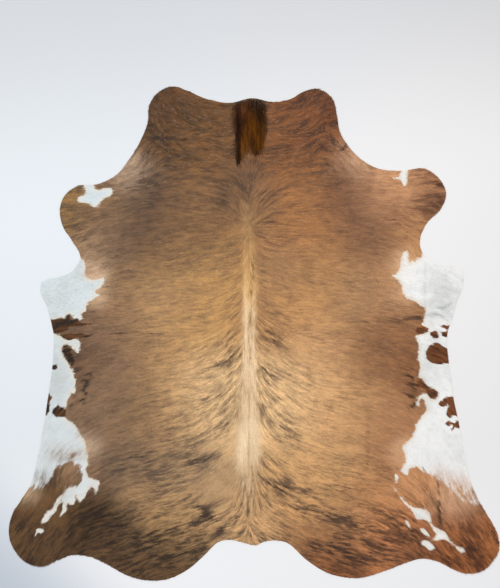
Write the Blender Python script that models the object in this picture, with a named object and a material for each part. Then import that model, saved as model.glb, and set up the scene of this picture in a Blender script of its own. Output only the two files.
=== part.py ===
"""A whole hair-on cowhide lying flat, hair side up, with its neck towards +Y.

One skin, trimmed to its natural outline. The origin is at the middle of the underside.
Lengths are in metres, except in the tables, whose columns say centimetres or millimetres.
"""

from collections import namedtuple

import bmesh
import bpy
import numpy as np
from mathutils import Vector
from mathutils.geometry import delaunay_2d_cdt

CM = 0.01
MM = 0.001

# Driving dimensions
BODY_THICKNESS = 6.0 * MM  # skin and lying hair together, on the sides of the body
RIM_THICKNESS = 2.4 * MM  # the bare cut edge of the skin
RIM_REACH = 18.0 * MM  # how far in from the cut the hair takes to reach its full depth
RIM_SHOULDER = 5.0 * MM  # inner end of the steep part of that rounding
SHOULDER_SHARE = 0.72  # share of the full depth reached at the shoulder

# Spacing of the facets
EDGE_STEP = 25 * MM
FIELD_STEP = 60 * MM
FIELD_MARGIN = 30 * MM  # between the rounded rim and the nearest field point
UNDERSIDE_STEP = 180 * MM
UNDERSIDE_MARGIN = 60 * MM  # between the cut edge and the nearest point under the hide
CREASE_STEP = 24 * MM
CREASE_MARGIN = 12 * MM  # between the rounded rim and the nearest crease point
CREASE_ROWS = (-2.1, -1.2, -0.55, 0.0, 0.55, 1.2, 2.1)  # rows of points across a crease, in its widths
CREASE_GAP = 4 * MM  # least distance between two crease points
CREASE_CLEARANCE = 25 * MM  # kept free of field points round each crease point
SPLINE_STEPS = 24  # points worked out between two knots of the outline
INSIDE_ONLY = 1  # the kind of triangulation that stays within its outline
SAME_POINT = 1e-7

# The outline, clockwise from the left corner of the neck: (x, y) in centimetres
# from the middle of the hide, +y towards the neck.
OUTLINE = {
    "neck edge": (
        (-52.3, 113.5), (-49.7, 118.4), (-45.5, 121.9), (-40.0, 123.4), (-33.5, 121.3),
        (-23.5, 117.1), (-12.0, 115.2), (-1.0, 117.5), (9.5, 115.6), (18.0, 117.0),
        (25.0, 120.8), (30.5, 122.2), (35.5, 120.6), (39.5, 116.6),
    ),
    "right of the neck": (
        (41.3, 109.5), (43.0, 100.5), (47.8, 92.8), (54.0, 86.7), (62.0, 82.4), (73.0, 81.2),
    ),
    "right foreleg": (
        (84.0, 82.4), (89.0, 80.4), (93.8, 75.6), (96.0, 69.2), (93.0, 61.8), (86.5, 55.2),
        (83.0, 47.2), (83.8, 41.0), (88.5, 35.5), (94.0, 33.3), (100.5, 33.3), (104.0, 30.4),
        (104.5, 24.6),
    ),
    "right flank": (
        (101.3, 15.6), (99.0, 7.6), (96.7, 0.0), (96.7, -8.4), (98.3, -21.4), (100.0, -34.0),
        (102.2, -44.0), (103.5, -53.4), (106.3, -66.4),
    ),
    "right hind leg": (
        (109.0, -76.0), (113.5, -85.6), (119.5, -95.6), (121.6, -100.4), (122.5, -107.4),
        (119.5, -113.4), (114.5, -118.4), (106.0, -119.9), (99.0, -117.6), (92.0, -114.1),
        (83.5, -112.6), (75.0, -115.0),
    ),
    "right rump": (
        (65.5, -118.6), (52.0, -122.2), (38.0, -120.2), (26.5, -113.4), (17.0, -104.9),
    ),
    "tail stub": (
        (10.5, -103.4), (5.0, -104.1), (0.5, -105.9), (-5.0, -104.6), (-11.5, -103.2),
        (-17.5, -104.1),
    ),
    "left rump": (
        (-25.0, -111.1), (-33.0, -118.0), (-42.0, -122.4), (-52.0, -123.5), (-63.0, -121.0),
        (-74.5, -114.8),
    ),
    "left hind leg": (
        (-82.0, -111.5), (-90.5, -110.7), (-97.5, -113.0), (-106.0, -116.3), (-114.5, -114.0),
        (-121.0, -105.8), (-122.5, -98.4), (-120.7, -90.4), (-116.0, -82.8), (-111.2, -74.8),
    ),
    "left flank": (
        (-108.0, -62.4), (-104.7, -44.4), (-103.2, -34.4), (-101.0, -19.4), (-100.0, -1.8),
        (-101.3, 5.6), (-103.5, 13.6),
    ),
    "left foreleg": (
        (-106.7, 21.2), (-105.0, 26.2), (-97.0, 28.3), (-90.5, 31.4), (-86.8, 38.2),
        (-90.5, 45.8), (-95.5, 53.7), (-96.8, 62.6), (-94.0, 69.4), (-87.0, 73.9),
    ),
    "left of the neck": (
        (-78.0, 74.6), (-68.7, 79.2), (-63.0, 85.9), (-57.0, 95.6), (-53.0, 105.6),
    ),
}

# Broad changes of thickness: middle and reach in centimetres, rise in millimetres.
Swell = namedtuple("Swell", "name x y reach_x reach_y rise")
SWELLS = (
    Swell("back", 0, -20, 20, 85, 1.2),
    Swell("neck", -5, 100, 45, 20, 1.3),
    Swell("rump", 0, -98, 70, 18, 1.0),
    Swell("frizzy hair, right of the neck", 41, 96, 7, 9, 2.6),
    Swell("frizzy hair, left of the neck", -53, 84, 11, 9, 2.0),
    Swell("left belly edge", -100, -10, 13, 50, -1.3),
    Swell("right belly edge", 97, -12, 13, 50, -1.3),
    Swell("left foreleg", -84, 62, 14, 12, 0.9),
    Swell("right foreleg", 84, 66, 12, 12, 0.9),
    Swell("left hind leg", -104, -100, 16, 16, 1.2),
    Swell("right hind leg", 106, -104, 16, 14, 1.2),
    Swell("cockle under the left foreleg", -97, 20, 6, 9, 1.6),
    Swell("cockle under the right foreleg", 97, 22, 7, 10, 1.6),
    Swell("cockle over the right hind leg", 92, -62, 9, 14, 1.3),
    Swell("cockle over the left hind leg", -96, -58, 8, 15, 1.3),
)

# Creases and ridges: the points they run through and their half-width in centimetres,
# rise in millimetres (a trough has a negative rise).
Crease = namedtuple("Crease", "name route width rise")
CREASES = (
    Crease("mane crest", ((-7.5, 117), (-7.2, 100), (-7.0, 84)), 2.6, 5.0),
    Crease("mane fall", ((0.5, 118), (0.3, 102), (-1.5, 88)), 3.2, 4.0),
    Crease("left flank fold", ((-103, 2.6), (-93, 2.2), (-82, 2.8)), 1.7, 3.2),
    Crease("left flank fold, upper slit", ((-92, 6.4), (-82, 6.6)), 0.8, -1.8),
    Crease("left flank fold, lower slit", ((-98, -1.6), (-82, -1.4), (-54, -0.2)), 0.9, -1.8),
    Crease("right flank fold", ((71, 4.0), (86, 4.6), (99, 3.4)), 1.8, 3.0),
    Crease("right flank fold, upper slit", ((58, 5.7), (72, 7.0), (85, 8.0), (99, 9.0)), 0.9, -1.8),
    Crease("right foreleg fold", ((84.4, 36.0), (84.0, 24.0), (84.8, 11.0)), 1.6, 2.8),
    Crease("left foreleg fold", ((-95.0, 25.0), (-94.0, 13.0)), 1.6, 2.2),
    Crease("right flank, upright fold", ((56.5, -37.0), (57.2, -52.0), (56.0, -69.0)), 2.0, 2.0),
    Crease("right hind leg crease", ((91.5, -73.0), (92.2, -87.0), (91.2, -102.0)), 1.1, -1.6),
    Crease("left hind leg crease", ((-108.0, -74.5), (-100.0, -76.0)), 1.2, -1.6),
    Crease("neck crease", ((-56.0, 96.2), (-42.0, 97.2), (-29.0, 96.4)), 1.0, -1.6),
    Crease("left neck slit", ((-45.5, 81.5), (-42.5, 87.0)), 0.8, -1.4),
    Crease("right neck slit", ((35.5, 88.5), (38.0, 82.0)), 0.8, -1.4),
    Crease("right shoulder crease", ((71.0, 56.0), (75.5, 52.0)), 0.9, -1.4),
    Crease("navel wrinkle, left, top", ((-85.5, -19.5), (-81.0, -22.5)), 0.8, -1.5),
    Crease("navel wrinkle, left, middle", ((-86.0, -22.5), (-82.8, -27.0)), 0.8, -1.5),
    Crease("navel wrinkle, left, low", ((-86.5, -28.0), (-82.5, -35.0)), 0.9, -1.6),
    Crease("navel wrinkle, right", ((76.0, -21.5), (76.6, -28.0), (81.0, -34.5)), 0.9, -1.6),
    Crease("parting along the back", ((-1.2, 62.0), (-2.6, 0.0), (-2.8, -52.0)), 1.3, -0.9),
    Crease("tail slit", ((-2.8, -52.0), (-2.4, -80.0), (-1.6, -103.0)), 0.9, -1.6),
)
CREASE_TAPER = 0.22  # share of a crease's length over which each end fades

HAIR_BROWN = (0.30, 0.17, 0.085, 1.0)
HAIR_ROUGHNESS = 0.6


def spline_piece(before, start, end, after, count):
    """Points from start up to end on the centripetal spline through four knots."""
    knots = np.array((before, start, end, after), float)
    gaps = np.sqrt(np.linalg.norm(np.diff(knots, axis=0), axis=1))
    t0, t1, t2, t3 = np.concatenate(([0.0], np.cumsum(gaps)))
    t = np.linspace(t1, t2, count, endpoint=False)[:, None]
    a = ((t1 - t) * knots[0] + (t - t0) * knots[1]) / (t1 - t0)
    b = ((t2 - t) * knots[1] + (t - t1) * knots[2]) / (t2 - t1)
    c = ((t3 - t) * knots[2] + (t - t2) * knots[3]) / (t3 - t2)
    ab = ((t2 - t) * a + (t - t0) * b) / (t2 - t0)
    bc = ((t3 - t) * b + (t - t1) * c) / (t3 - t1)
    return ((t2 - t) * ab + (t - t1) * bc) / (t2 - t1)


def closed_curve(knots, step):
    """Evenly spaced points on the smooth closed curve through the knots."""
    count = len(knots)
    ring = np.vstack((knots[-1:], knots, knots[:2]))
    pieces = [spline_piece(*ring[i : i + 4], SPLINE_STEPS) for i in range(count)]
    curve = np.concatenate(pieces)
    curve = np.vstack((curve, curve[:1]))
    along = np.concatenate(([0.0], np.cumsum(np.linalg.norm(np.diff(curve, axis=0), axis=1))))
    stops = np.linspace(0.0, along[-1], round(along[-1] / step), endpoint=False)
    return np.column_stack([np.interp(stops, along, curve[:, axis]) for axis in (0, 1)])


def centred(loop):
    """The loop moved so that the middle of its box is the origin."""
    return loop - (loop.min(axis=0) + loop.max(axis=0)) / 2.0


def inset(loop, distance):
    """The closed clockwise loop moved inwards by a short distance."""
    tangent = np.roll(loop, -1, axis=0) - np.roll(loop, 1, axis=0)
    tangent /= np.linalg.norm(tangent, axis=1)[:, None]
    inward = np.column_stack((tangent[:, 1], -tangent[:, 0]))
    return loop + distance * inward


def inside(points, loop):
    """Which points lie within the closed loop, by counting crossings."""
    x, y = points[:, 0:1], points[:, 1:2]
    x1, y1 = loop.T
    x2, y2 = np.roll(loop, -1, axis=0).T
    spans = (y1 > y) != (y2 > y)
    with np.errstate(divide="ignore", invalid="ignore"):
        crossing = x1 + (y - y1) * (x2 - x1) / (y2 - y1)
    return (spans & (x < crossing)).sum(axis=1) % 2 == 1


def route_points(crease, step):
    """Points along a crease, with the direction across it and the share of its length at each."""
    route = np.array(crease.route, float) * CM
    runs = np.linalg.norm(np.diff(route, axis=0), axis=1)
    along = np.concatenate(([0.0], np.cumsum(runs)))
    stops = np.linspace(0.0, along[-1], max(3, round(along[-1] / step) + 1))
    points = np.column_stack([np.interp(stops, along, route[:, axis]) for axis in (0, 1)])
    tangent = np.gradient(points, axis=0)
    tangent /= np.linalg.norm(tangent, axis=1)[:, None]
    return points, np.column_stack((-tangent[:, 1], tangent[:, 0])), stops / along[-1]


def crease_height(points, crease):
    """What one crease adds to the height at each point."""
    route, _, share = route_points(crease, CREASE_STEP)
    nearest = np.full(len(points), np.inf)
    place = np.zeros(len(points))
    for start, end, share_0, share_1 in zip(route, route[1:], share, share[1:]):
        run = end - start
        t = np.clip(((points - start) @ run) / (run @ run), 0.0, 1.0)
        gap = np.linalg.norm(points - start - t[:, None] * run, axis=1)
        closer = gap < nearest
        nearest = np.where(closer, gap, nearest)
        place = np.where(closer, share_0 + t * (share_1 - share_0), place)
    ends = np.clip(np.minimum(place, 1.0 - place) / CREASE_TAPER, 0.0, 1.0)
    fade = ends * ends * (3.0 - 2.0 * ends)
    return crease.rise * MM * fade * np.exp(-((nearest / (crease.width * CM)) ** 2))


def height(points):
    """Height of the hair's surface over the floor, away from the rim."""
    total = np.full(len(points), BODY_THICKNESS)
    for swell in SWELLS:
        across = (points[:, 0] - swell.x * CM) / (swell.reach_x * CM)
        along = (points[:, 1] - swell.y * CM) / (swell.reach_y * CM)
        total += swell.rise * MM * np.exp(-(across**2) - along**2)
    for crease in CREASES:
        total += crease_height(points, crease)
    return total


def lattice(loop, step):
    """Points of an even triangular lattice that lie inside the loop."""
    low, high = loop.min(axis=0), loop.max(axis=0)
    row_step = step * np.sqrt(3.0) / 2.0
    rows = []
    for row, y in enumerate(np.arange(low[1], high[1], row_step)):
        x = np.arange(low[0] + (row % 2) * step / 2.0, high[0], step)
        rows.append(np.column_stack((x, np.full(len(x), y))))
    points = np.concatenate(rows)
    return points[inside(points, loop)]


def far_from(points, others, gap):
    """The points that lie further than the gap from every one of the others."""
    between = np.linalg.norm(points[:, None, :] - others[None, :, :], axis=2)
    return points[between.min(axis=1) > gap]


def thinned(points, gap):
    """The points in order, without any that lies within the gap of one already taken."""
    kept = []
    for point in points:
        if all(np.hypot(*(point - other)) > gap for other in kept):
            kept.append(point)
    return np.array(kept)


def crease_points(loop):
    """Rows of points along every crease, inside the loop."""
    rows = []
    for crease in CREASES:
        points, across, _ = route_points(crease, CREASE_STEP)
        rows += [points + share * crease.width * CM * across for share in CREASE_ROWS]
    points = np.concatenate(rows)
    return thinned(points[inside(points, loop)], CREASE_GAP)


def triangulate(loop, field):
    """Counter-clockwise triangles, as places in loop + field, that fill the clockwise loop."""
    points = [Vector(point) for point in np.vstack((loop, field))]
    count = len(loop)
    edges = [(i, (i + 1) % count) for i in range(count)]
    flat, _, triangles, origins, _, _ = delaunay_2d_cdt(points, edges, [], INSIDE_ONLY, SAME_POINT)
    assert len(flat) == len(points), "the points of the hide's surface cross or coincide"
    places = [origin[0] for origin in origins]
    return [tuple(places[corner] for corner in triangle) for triangle in triangles]


def hide_mesh():
    """The hide as one closed mesh: flat underside, cut edge, rounded rim, and hair surface."""
    knots = np.array([knot for stretch in OUTLINE.values() for knot in stretch]) * CM
    edge = centred(closed_curve(knots, EDGE_STEP))
    shoulder = inset(edge, RIM_SHOULDER)
    inner = inset(edge, RIM_REACH)

    creased = crease_points(inset(edge, RIM_REACH + CREASE_MARGIN))
    field = lattice(inset(edge, RIM_REACH + FIELD_MARGIN), FIELD_STEP)
    top_field = np.vstack((creased, far_from(field, creased, CREASE_CLEARANCE)))
    under_field = lattice(inset(edge, UNDERSIDE_MARGIN), UNDERSIDE_STEP)

    full = height(edge)
    rings = (
        (edge, np.zeros(len(edge))),
        (edge, np.full(len(edge), RIM_THICKNESS)),
        (shoulder, RIM_THICKNESS + (full - RIM_THICKNESS) * SHOULDER_SHARE),
        (inner, height(inner)),
        (top_field, height(top_field)),
        (under_field, np.zeros(len(under_field))),
    )
    mesh = bmesh.new()
    placed = [
        [mesh.verts.new((x, y, z)) for (x, y), z in zip(points, heights)]
        for points, heights in rings
    ]
    count = len(edge)
    for outer, inner_ring in zip(placed[:3], placed[1:4]):
        for i in range(count):
            j = (i + 1) % count
            mesh.faces.new((outer[i], inner_ring[i], inner_ring[j], outer[j]))
    top = placed[3] + placed[4]
    for triangle in triangulate(inner, top_field):
        mesh.faces.new([top[corner] for corner in triangle])
    under = placed[0] + placed[5]
    for triangle in triangulate(edge, under_field):
        mesh.faces.new([under[corner] for corner in reversed(triangle)])
    bmesh.ops.recalc_face_normals(mesh, faces=mesh.faces)
    return mesh


def hair_material():
    material = bpy.data.materials.new("cowhide")
    material.use_nodes = True
    shader = material.node_tree.nodes["Principled BSDF"]
    shader.inputs["Base Color"].default_value = HAIR_BROWN
    shader.inputs["Roughness"].default_value = HAIR_ROUGHNESS
    shader.inputs["Metallic"].default_value = 0.0
    return material


def build_hide():
    data = bpy.data.meshes.new("hide")
    mesh = hide_mesh()
    mesh.to_mesh(data)
    mesh.free()
    data.materials.append(hair_material())
    data.shade_smooth()
    bpy.context.scene.collection.objects.link(bpy.data.objects.new("hide", data))


for leftover in list(bpy.data.objects):
    bpy.data.objects.remove(leftover)
build_hide()
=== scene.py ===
"""A hair-on cowhide rug, lying flat: brindled brown, white flanks and legs, a dark mane on the neck.

The skin is one thin closed sheet on the frame's folds. The coat is short locks of hair, rooted on the skin
and combed along the hide's own lay. Colours, lay and markings come from short tables, placed on the
hide. Places in the tables are centimetres from the hide's middle: x to the right, y towards the neck.
heading is in degrees, 0 to the right and 90 towards the neck. Colours are red, green and blue, 0 to 255.
"""

import math
from collections import namedtuple
from types import SimpleNamespace

import bpy
import numpy as np
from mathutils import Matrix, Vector
from mathutils.bvhtree import BVHTree
from mathutils.geometry import delaunay_2d_cdt
from mathutils.kdtree import KDTree


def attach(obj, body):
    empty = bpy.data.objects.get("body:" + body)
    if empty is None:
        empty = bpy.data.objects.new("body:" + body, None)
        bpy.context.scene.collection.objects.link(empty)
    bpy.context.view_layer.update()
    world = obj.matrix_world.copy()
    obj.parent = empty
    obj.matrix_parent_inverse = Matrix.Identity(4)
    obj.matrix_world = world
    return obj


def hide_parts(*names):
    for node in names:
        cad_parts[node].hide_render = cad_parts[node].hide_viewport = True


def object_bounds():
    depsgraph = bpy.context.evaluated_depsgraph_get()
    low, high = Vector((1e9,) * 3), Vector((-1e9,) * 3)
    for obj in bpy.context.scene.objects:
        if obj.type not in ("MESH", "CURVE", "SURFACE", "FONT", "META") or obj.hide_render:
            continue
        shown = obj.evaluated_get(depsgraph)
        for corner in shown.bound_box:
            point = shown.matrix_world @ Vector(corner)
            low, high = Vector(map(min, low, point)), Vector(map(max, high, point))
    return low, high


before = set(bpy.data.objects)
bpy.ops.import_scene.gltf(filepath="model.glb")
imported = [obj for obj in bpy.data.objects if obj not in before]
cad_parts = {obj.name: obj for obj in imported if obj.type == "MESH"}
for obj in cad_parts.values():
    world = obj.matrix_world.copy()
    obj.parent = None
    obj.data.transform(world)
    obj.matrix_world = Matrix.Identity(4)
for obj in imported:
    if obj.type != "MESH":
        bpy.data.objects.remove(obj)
cad_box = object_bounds()

CM = 0.01
MM = 0.001
SEED = 20
BELL_SPAN = 3                  # a soft bell is felt as far out as this many of its reaches
ROUTE_ENDS = 0.6               # how soon a stroke or crease fades at its ends, less for later

# The skin
SKIN_THICKNESS = 2.4 * MM
HAIR_DEPTH = 3.4 * MM          # how far the skin lies under the hair's surface
SKIN_STEP = 14 * MM            # spacing of the skin's points
SKIN_GAP = 0.6                 # between them and the cut edge, in steps
CUT_STEP = 8 * MM              # spacing of the points along the cut edge
CUT_TURN = 50.0                # degrees between two faces, past which their edge is sharp
HEIGHT_STEP = 6 * MM           # spacing of the height map read from the frame
FACET_BLUR = 2.5               # how far the frame's facets are softened, in those steps
ON_FLOOR = 0.1 * MM            # lower than this, a point of the frame lies on the floor
CREASE_WAVE = 0.25             # how uneven the fine creases are along their length

# The locks of hair. Lift is the angle between a lock and the skin and spread the one between neighbours,
# in degrees, and a lock takes the colour of the hide at colour_at of its length.
Hair = namedtuple("Hair", "spacing length width height lift spread colour_at")
COAT = Hair(5.05 * MM, 26 * MM, 2.8 * MM, 0.55 * MM, 5.0, 7.0, 0.45)
MANE = Hair(3.3 * MM, 52 * MM, 3.2 * MM, 1.0 * MM, 5.0, 5.0, 0.5)
LOCK_BELLY = 0.38              # where along its length a lock is widest
LOCK_SINK = 0.4 * MM           # how deep a root sits in the skin
RIM_INSET = 1.2 * MM           # how far the roots stay back from the cut edge
ROOT_STRAY = 0.35              # how far a root strays from its even row, in spacings
CALM = 9.0                     # unrest of the lay where the coat's spread is as given
TRIM = 0.35                    # how much shorter the locks are along the edges of the patches
TRIM_REACH = 2.0               # how far from them that is felt, in widths of the patch's soft edge
SHORTEST_LOCK = 5 * MM
LEAST_OUTWARD = 0.05           # a lock along the cut edge still counts as going out this much
LENGTH_SPREAD = 0.2            # how uneven the locks' length is, and between which shares of it they stay
LENGTH_RANGE = (0.5, 1.6)
LIFT_SPREAD = 0.35             # the same for their lift
LIFT_RANGE = (0.3, 2)
ROLL_SPREAD = 14.0             # degrees that the locks roll to either side
HANG_RANGE = (0.2, 1.1)        # how much of the coat's overhang a single lock takes up
SLOPE_STEP = 10 * MM           # how far ahead of a root the skin's slope is read
STEEPEST_DIP = 0.06            # radians by which a lock follows the skin down
MANE_THINNING = 16 * MM        # the mane's edges thin out over this far
MANE_SWAY = 7.0                # degrees that its strands lean to either side
MANE_END = (108, 117), (1, 0.5)     # its locks grow shorter between these y, down to half their length

# The coat's pieces, each with its lowest and highest y in metres
COAT_PARTS = {"fore": (0.45, 9), "flank": (-0.40, 0.45), "rump": (-9, -0.40)}
MAP_MARGIN = 30 * MM           # how far the locks may reach past their roots on a piece's texture map

# The streaks in the coat: reach across the hair, length along it
STREAK_STEP = 4 * MM
STREAKS = {"broad": (14 * MM, 170 * MM), "narrow": (3 * MM, 110 * MM), "fine": (0, 60 * MM)}
CLOUD_REACH = 60 * MM
LAY_WAVE = 0.5                 # how far the lay waves, as a share of its unrest
WAVE_REACH = 26 * MM           # how long its waves are

# The camera looks straight down, as in the photograph. Sizes in metres, but lens and sensor in millimetres
VIEW_CENTRE = (-0.020, 0.1975)
VIEW_HEIGHT = 2.94
LENS = 50.0
SENSOR = 36.0
FAR_CLIP = 50.0
FLOOR_REACH = 6.0
FLOOR_GAP = 0.5 * MM           # how far the floor lies under the hide

# The lay of the hair on the right half, mirrored over the spine. Unrest is the spread of the headings.
SPINE = -2.4
DOWN_THE_BACK = (0.02, -1.0)   # the way the hair of the stripe lies
Lay = namedtuple("Lay", "x y reach heading unrest")
HAIR_LAY = [Lay(*row) for row in (
    (1, 112, 4, -70, 12), (1, 98, 4, -70, 12), (14, 104, 10, 6, 12), (32, 112, 10, 46, 38),
    (16, 88, 12, 6, 12), (38, 96, 8, 14, 46), (50, 88, 8, -76, 30), (1, 78, 4, 84, 14),
    (8, 70, 5, 42, 10), (24, 66, 12, 8, 10), (1, 62, 4, 86, 8), (6, 56, 5, 10, 10), (48, 66, 12, -4, 12),
    (66, 74, 12, 4, 12), (84, 78, 9, 22, 14), (92, 68, 9, -2, 14), (84, 56, 10, -26, 12),
    (66, 54, 12, -14, 10), (34, 46, 16, -4, 9), (12, 44, 8, -16, 9), (2, 46, 4, -44, 8),
    (2, 12, 4, -46, 8), (8, 1, 4, -48, 9), (7, -22, 4, -56, 9), (10, 22, 8, -22, 9), (32, 18, 16, -6, 9),
    (62, 22, 16, -8, 8), (80, 38, 8, -66, 14), (96, 26, 12, -18, 12), (10, -10, 7, -48, 9),
    (24, -14, 10, -22, 8), (46, -16, 16, -8, 7), (70, -14, 14, -14, 9), (92, -10, 10, -32, 12),
    (1, -40, 5, -78, 6), (9, -38, 7, -54, 9), (22, -44, 10, -30, 8), (46, -50, 16, -14, 8),
    (70, -48, 12, -28, 10), (92, -42, 12, -50, 12), (0, -80, 5, -86, 7), (10, -72, 8, -46, 9),
    (28, -78, 12, -20, 9), (52, -82, 14, -8, 10), (76, -78, 10, -40, 12), (92, -76, 9, -78, 10),
    (103, -84, 9, -58, 12), (110, -102, 10, -48, 14), (92, -100, 10, -52, 12), (70, -100, 12, -22, 14),
    (36, -104, 14, -14, 10), (12, -94, 9, -30, 10), (30, -118, 10, -22, 14), (62, -116, 12, -18, 14),
)]

# The ground colours: a patch of coat takes a blend of the rows near it.
Ground = namedtuple("Ground", "name x y reach light dark brindle")
GROUNDS = [Ground(*row) for row in (
    ("neck lobe, left", -40, 111, 13, (96, 63, 35), (49, 33, 18), 0.95),
    ("neck, left", -20, 98, 15, (126, 86, 49), (72, 50, 31), 0.70),
    ("neck, right", 18, 98, 15, (134, 84, 47), (76, 48, 30), 0.80),
    ("neck lobe, right", 31, 111, 12, (126, 74, 41), (70, 39, 24), 0.95),
    ("under the mane", -3, 81, 7, (112, 80, 57), (62, 46, 36), 0.70),
    ("neck edge, left", -61, 79, 6, (184, 157, 131), (98, 76, 59), 0.85),
    ("neck edge, right", 52, 86, 7, (196, 156, 124), (130, 92, 66), 0.60),
    ("neck base, right", 46, 72, 8, (112, 73, 51), (74, 48, 35), 0.50),
    ("foreleg, left", -92, 62, 10, (152, 114, 66), (76, 58, 42), 0.70),
    ("foreleg inner, left", -74, 58, 11, (142, 110, 80), (98, 75, 56), 0.30),
    ("armpit, left", -78, 42, 8, (178, 146, 114), (112, 86, 64), 0.55),
    ("armpit inner, left", -67, 45, 6, (104, 79, 60), (72, 54, 42), 0.40),
    ("shoulder top, left", -53, 73, 6, (98, 74, 57), (62, 46, 36), 0.50),
    ("belly edge, left", -80, 30, 4, (226, 196, 166), (176, 144, 114), 0.30),
    ("belly edge low, left", -78, 19, 3.5, (214, 182, 148), (164, 132, 102), 0.30),
    ("shoulder shade, left", -52, 50, 15, (104, 78, 57), (67, 51, 40), 0.50),
    ("shoulder, left", -28, 58, 15, (142, 103, 66), (86, 63, 46), 0.50),
    ("shoulder, right", 24, 60, 15, (171, 117, 69), (113, 77, 52), 0.50),
    ("shoulder shade, right", 55, 55, 12, (128, 89, 64), (91, 63, 48), 0.40),
    ("foreleg inner, right", 66, 72, 10, (212, 160, 116), (156, 110, 77), 0.35),
    ("foreleg, right", 90, 68, 9, (162, 114, 80), (88, 56, 38), 0.65),
    ("armpit, right", 76, 46, 9, (196, 146, 98), (142, 98, 66), 0.30),
    ("armpit inner, right", 62, 42, 7, (150, 108, 74), (104, 74, 53), 0.30),
    ("belly edge, right", 73, 36, 4, (236, 200, 162), (194, 152, 114), 0.30),
    ("belly edge low, right", 73, 20, 4, (218, 176, 134), (172, 130, 94), 0.30),
    ("withers", -1, 64, 8, (150, 113, 77), (80, 60, 46), 0.65),
    ("withers, left", -11, 69, 7, (122, 90, 65), (66, 49, 37), 0.60),
    ("mid back, left", -28, 20, 18, (196, 150, 92), (128, 98, 68), 0.30),
    ("mid back, right", 26, 20, 18, (194, 145, 92), (132, 96, 66), 0.30),
    ("back top, right", 13, 32, 7, (142, 107, 78), (96, 73, 55), 0.40),
    ("side, left", -48, 14, 12, (192, 151, 103), (130, 101, 75), 0.30),
    ("flank, left", -70, 2, 14, (130, 99, 74), (83, 63, 49), 0.45),
    ("flank middle, left", -71, -24, 10, (124, 98, 77), (86, 67, 53), 0.40),
    ("flank edge, left", -85, -16, 7, (112, 81, 56), (72, 51, 38), 0.35),
    ("flank top, right", 66, 23, 9, (190, 142, 100), (132, 98, 70), 0.30),
    ("flank, right", 66, -6, 13, (157, 110, 72), (104, 71, 50), 0.40),
    ("flank edge, right", 79, -18, 8, (152, 101, 64), (106, 69, 45), 0.35),
    ("side, right", 50, 17, 9, (168, 129, 93), (118, 90, 67), 0.30),
    ("side low, right", 35, -8, 9, (212, 166, 116), (146, 110, 79), 0.30),
    ("side edge, right", 57, -12, 7, (138, 97, 66), (94, 66, 46), 0.30),
    ("back below, left", -18, -34, 14, (236, 198, 146), (124, 101, 77), 0.65),
    ("back below, right", 16, -34, 14, (232, 194, 142), (118, 94, 74), 0.70),
    ("side below, left", -50, -38, 17, (186, 143, 94), (117, 91, 67), 0.45),
    ("side edge, left", -62, -38, 8, (110, 86, 66), (74, 58, 46), 0.40),
    ("side below, right", 44, -40, 16, (210, 162, 110), (146, 110, 77), 0.30),
    ("flank below, left", -76, -46, 10, (128, 101, 79), (89, 68, 54), 0.40),
    ("flank below, right", 68, -50, 10, (170, 120, 84), (128, 87, 58), 0.22),
    ("loin, left", -30, -70, 13, (178, 144, 105), (104, 85, 68), 0.70),
    ("loin, right", 26, -70, 13, (212, 166, 112), (104, 80, 60), 0.75),
    ("loin edge, left", -51, -66, 8, (146, 117, 86), (88, 70, 56), 0.60),
    ("haunch, left", -62, -62, 11, (118, 94, 74), (78, 63, 52), 0.55),
    ("haunch edge, left", -83, -57, 4, (228, 200, 170), (176, 148, 120), 0.30),
    ("haunch band, left", -57, -79, 6, (178, 140, 98), (102, 78, 58), 0.65),
    ("rump, left", -42, -92, 12, (186, 146, 99), (82, 63, 46), 0.90),
    ("rump, right", 36, -90, 14, (188, 139, 92), (80, 58, 44), 0.90),
    ("rump edge, left", -47, -109, 11, (92, 65, 40), (38, 28, 20), 0.90),
    ("rump edge, right", 38, -113, 11, (137, 83, 50), (60, 38, 27), 0.85),
    ("thigh, left", -80, -93, 9, (72, 50, 26), (28, 18, 8), 0.95),
    ("thigh inner, left", -66, -97, 7, (86, 63, 41), (40, 29, 21), 0.90),
    ("thigh edge, left", -70, -107, 7, (104, 76, 50), (46, 33, 23), 0.85),
    ("haunch, right", 60, -80, 8, (184, 132, 88), (112, 77, 53), 0.60),
    ("haunch edge, right", 74, -58, 4, (230, 188, 148), (184, 142, 106), 0.30),
    ("thigh, right", 70, -102, 10, (206, 136, 86), (90, 60, 43), 0.90),
    ("thigh edge, right", 78, -107, 7, (116, 72, 48), (60, 37, 26), 0.85),
    ("hind leg, left", -106, -92, 12, (104, 74, 44), (52, 37, 25), 0.85),
    ("hind foot, left", -104, -108, 9, (96, 69, 45), (50, 36, 26), 0.80),
    ("hind leg top, left", -86, -68, 7, (152, 119, 88), (98, 73, 53), 0.40),
    ("hind leg edge, left", -113, -79, 3.5, (206, 176, 142), (146, 118, 90), 0.40),
    ("hind leg top, right", 84, -76, 8, (208, 152, 106), (140, 96, 64), 0.45),
    ("hind leg edge, right", 101, -82, 6.5, (232, 194, 160), (186, 142, 106), 0.30),
    ("hind leg, right", 103, -93, 11, (158, 98, 60), (92, 54, 34), 0.75),
    ("hind foot, right", 104, -110, 10, (166, 103, 58), (86, 50, 31), 0.80),
    ("tail root", -1, -94, 8, (212, 168, 118), (100, 78, 60), 0.75),
)]

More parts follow.
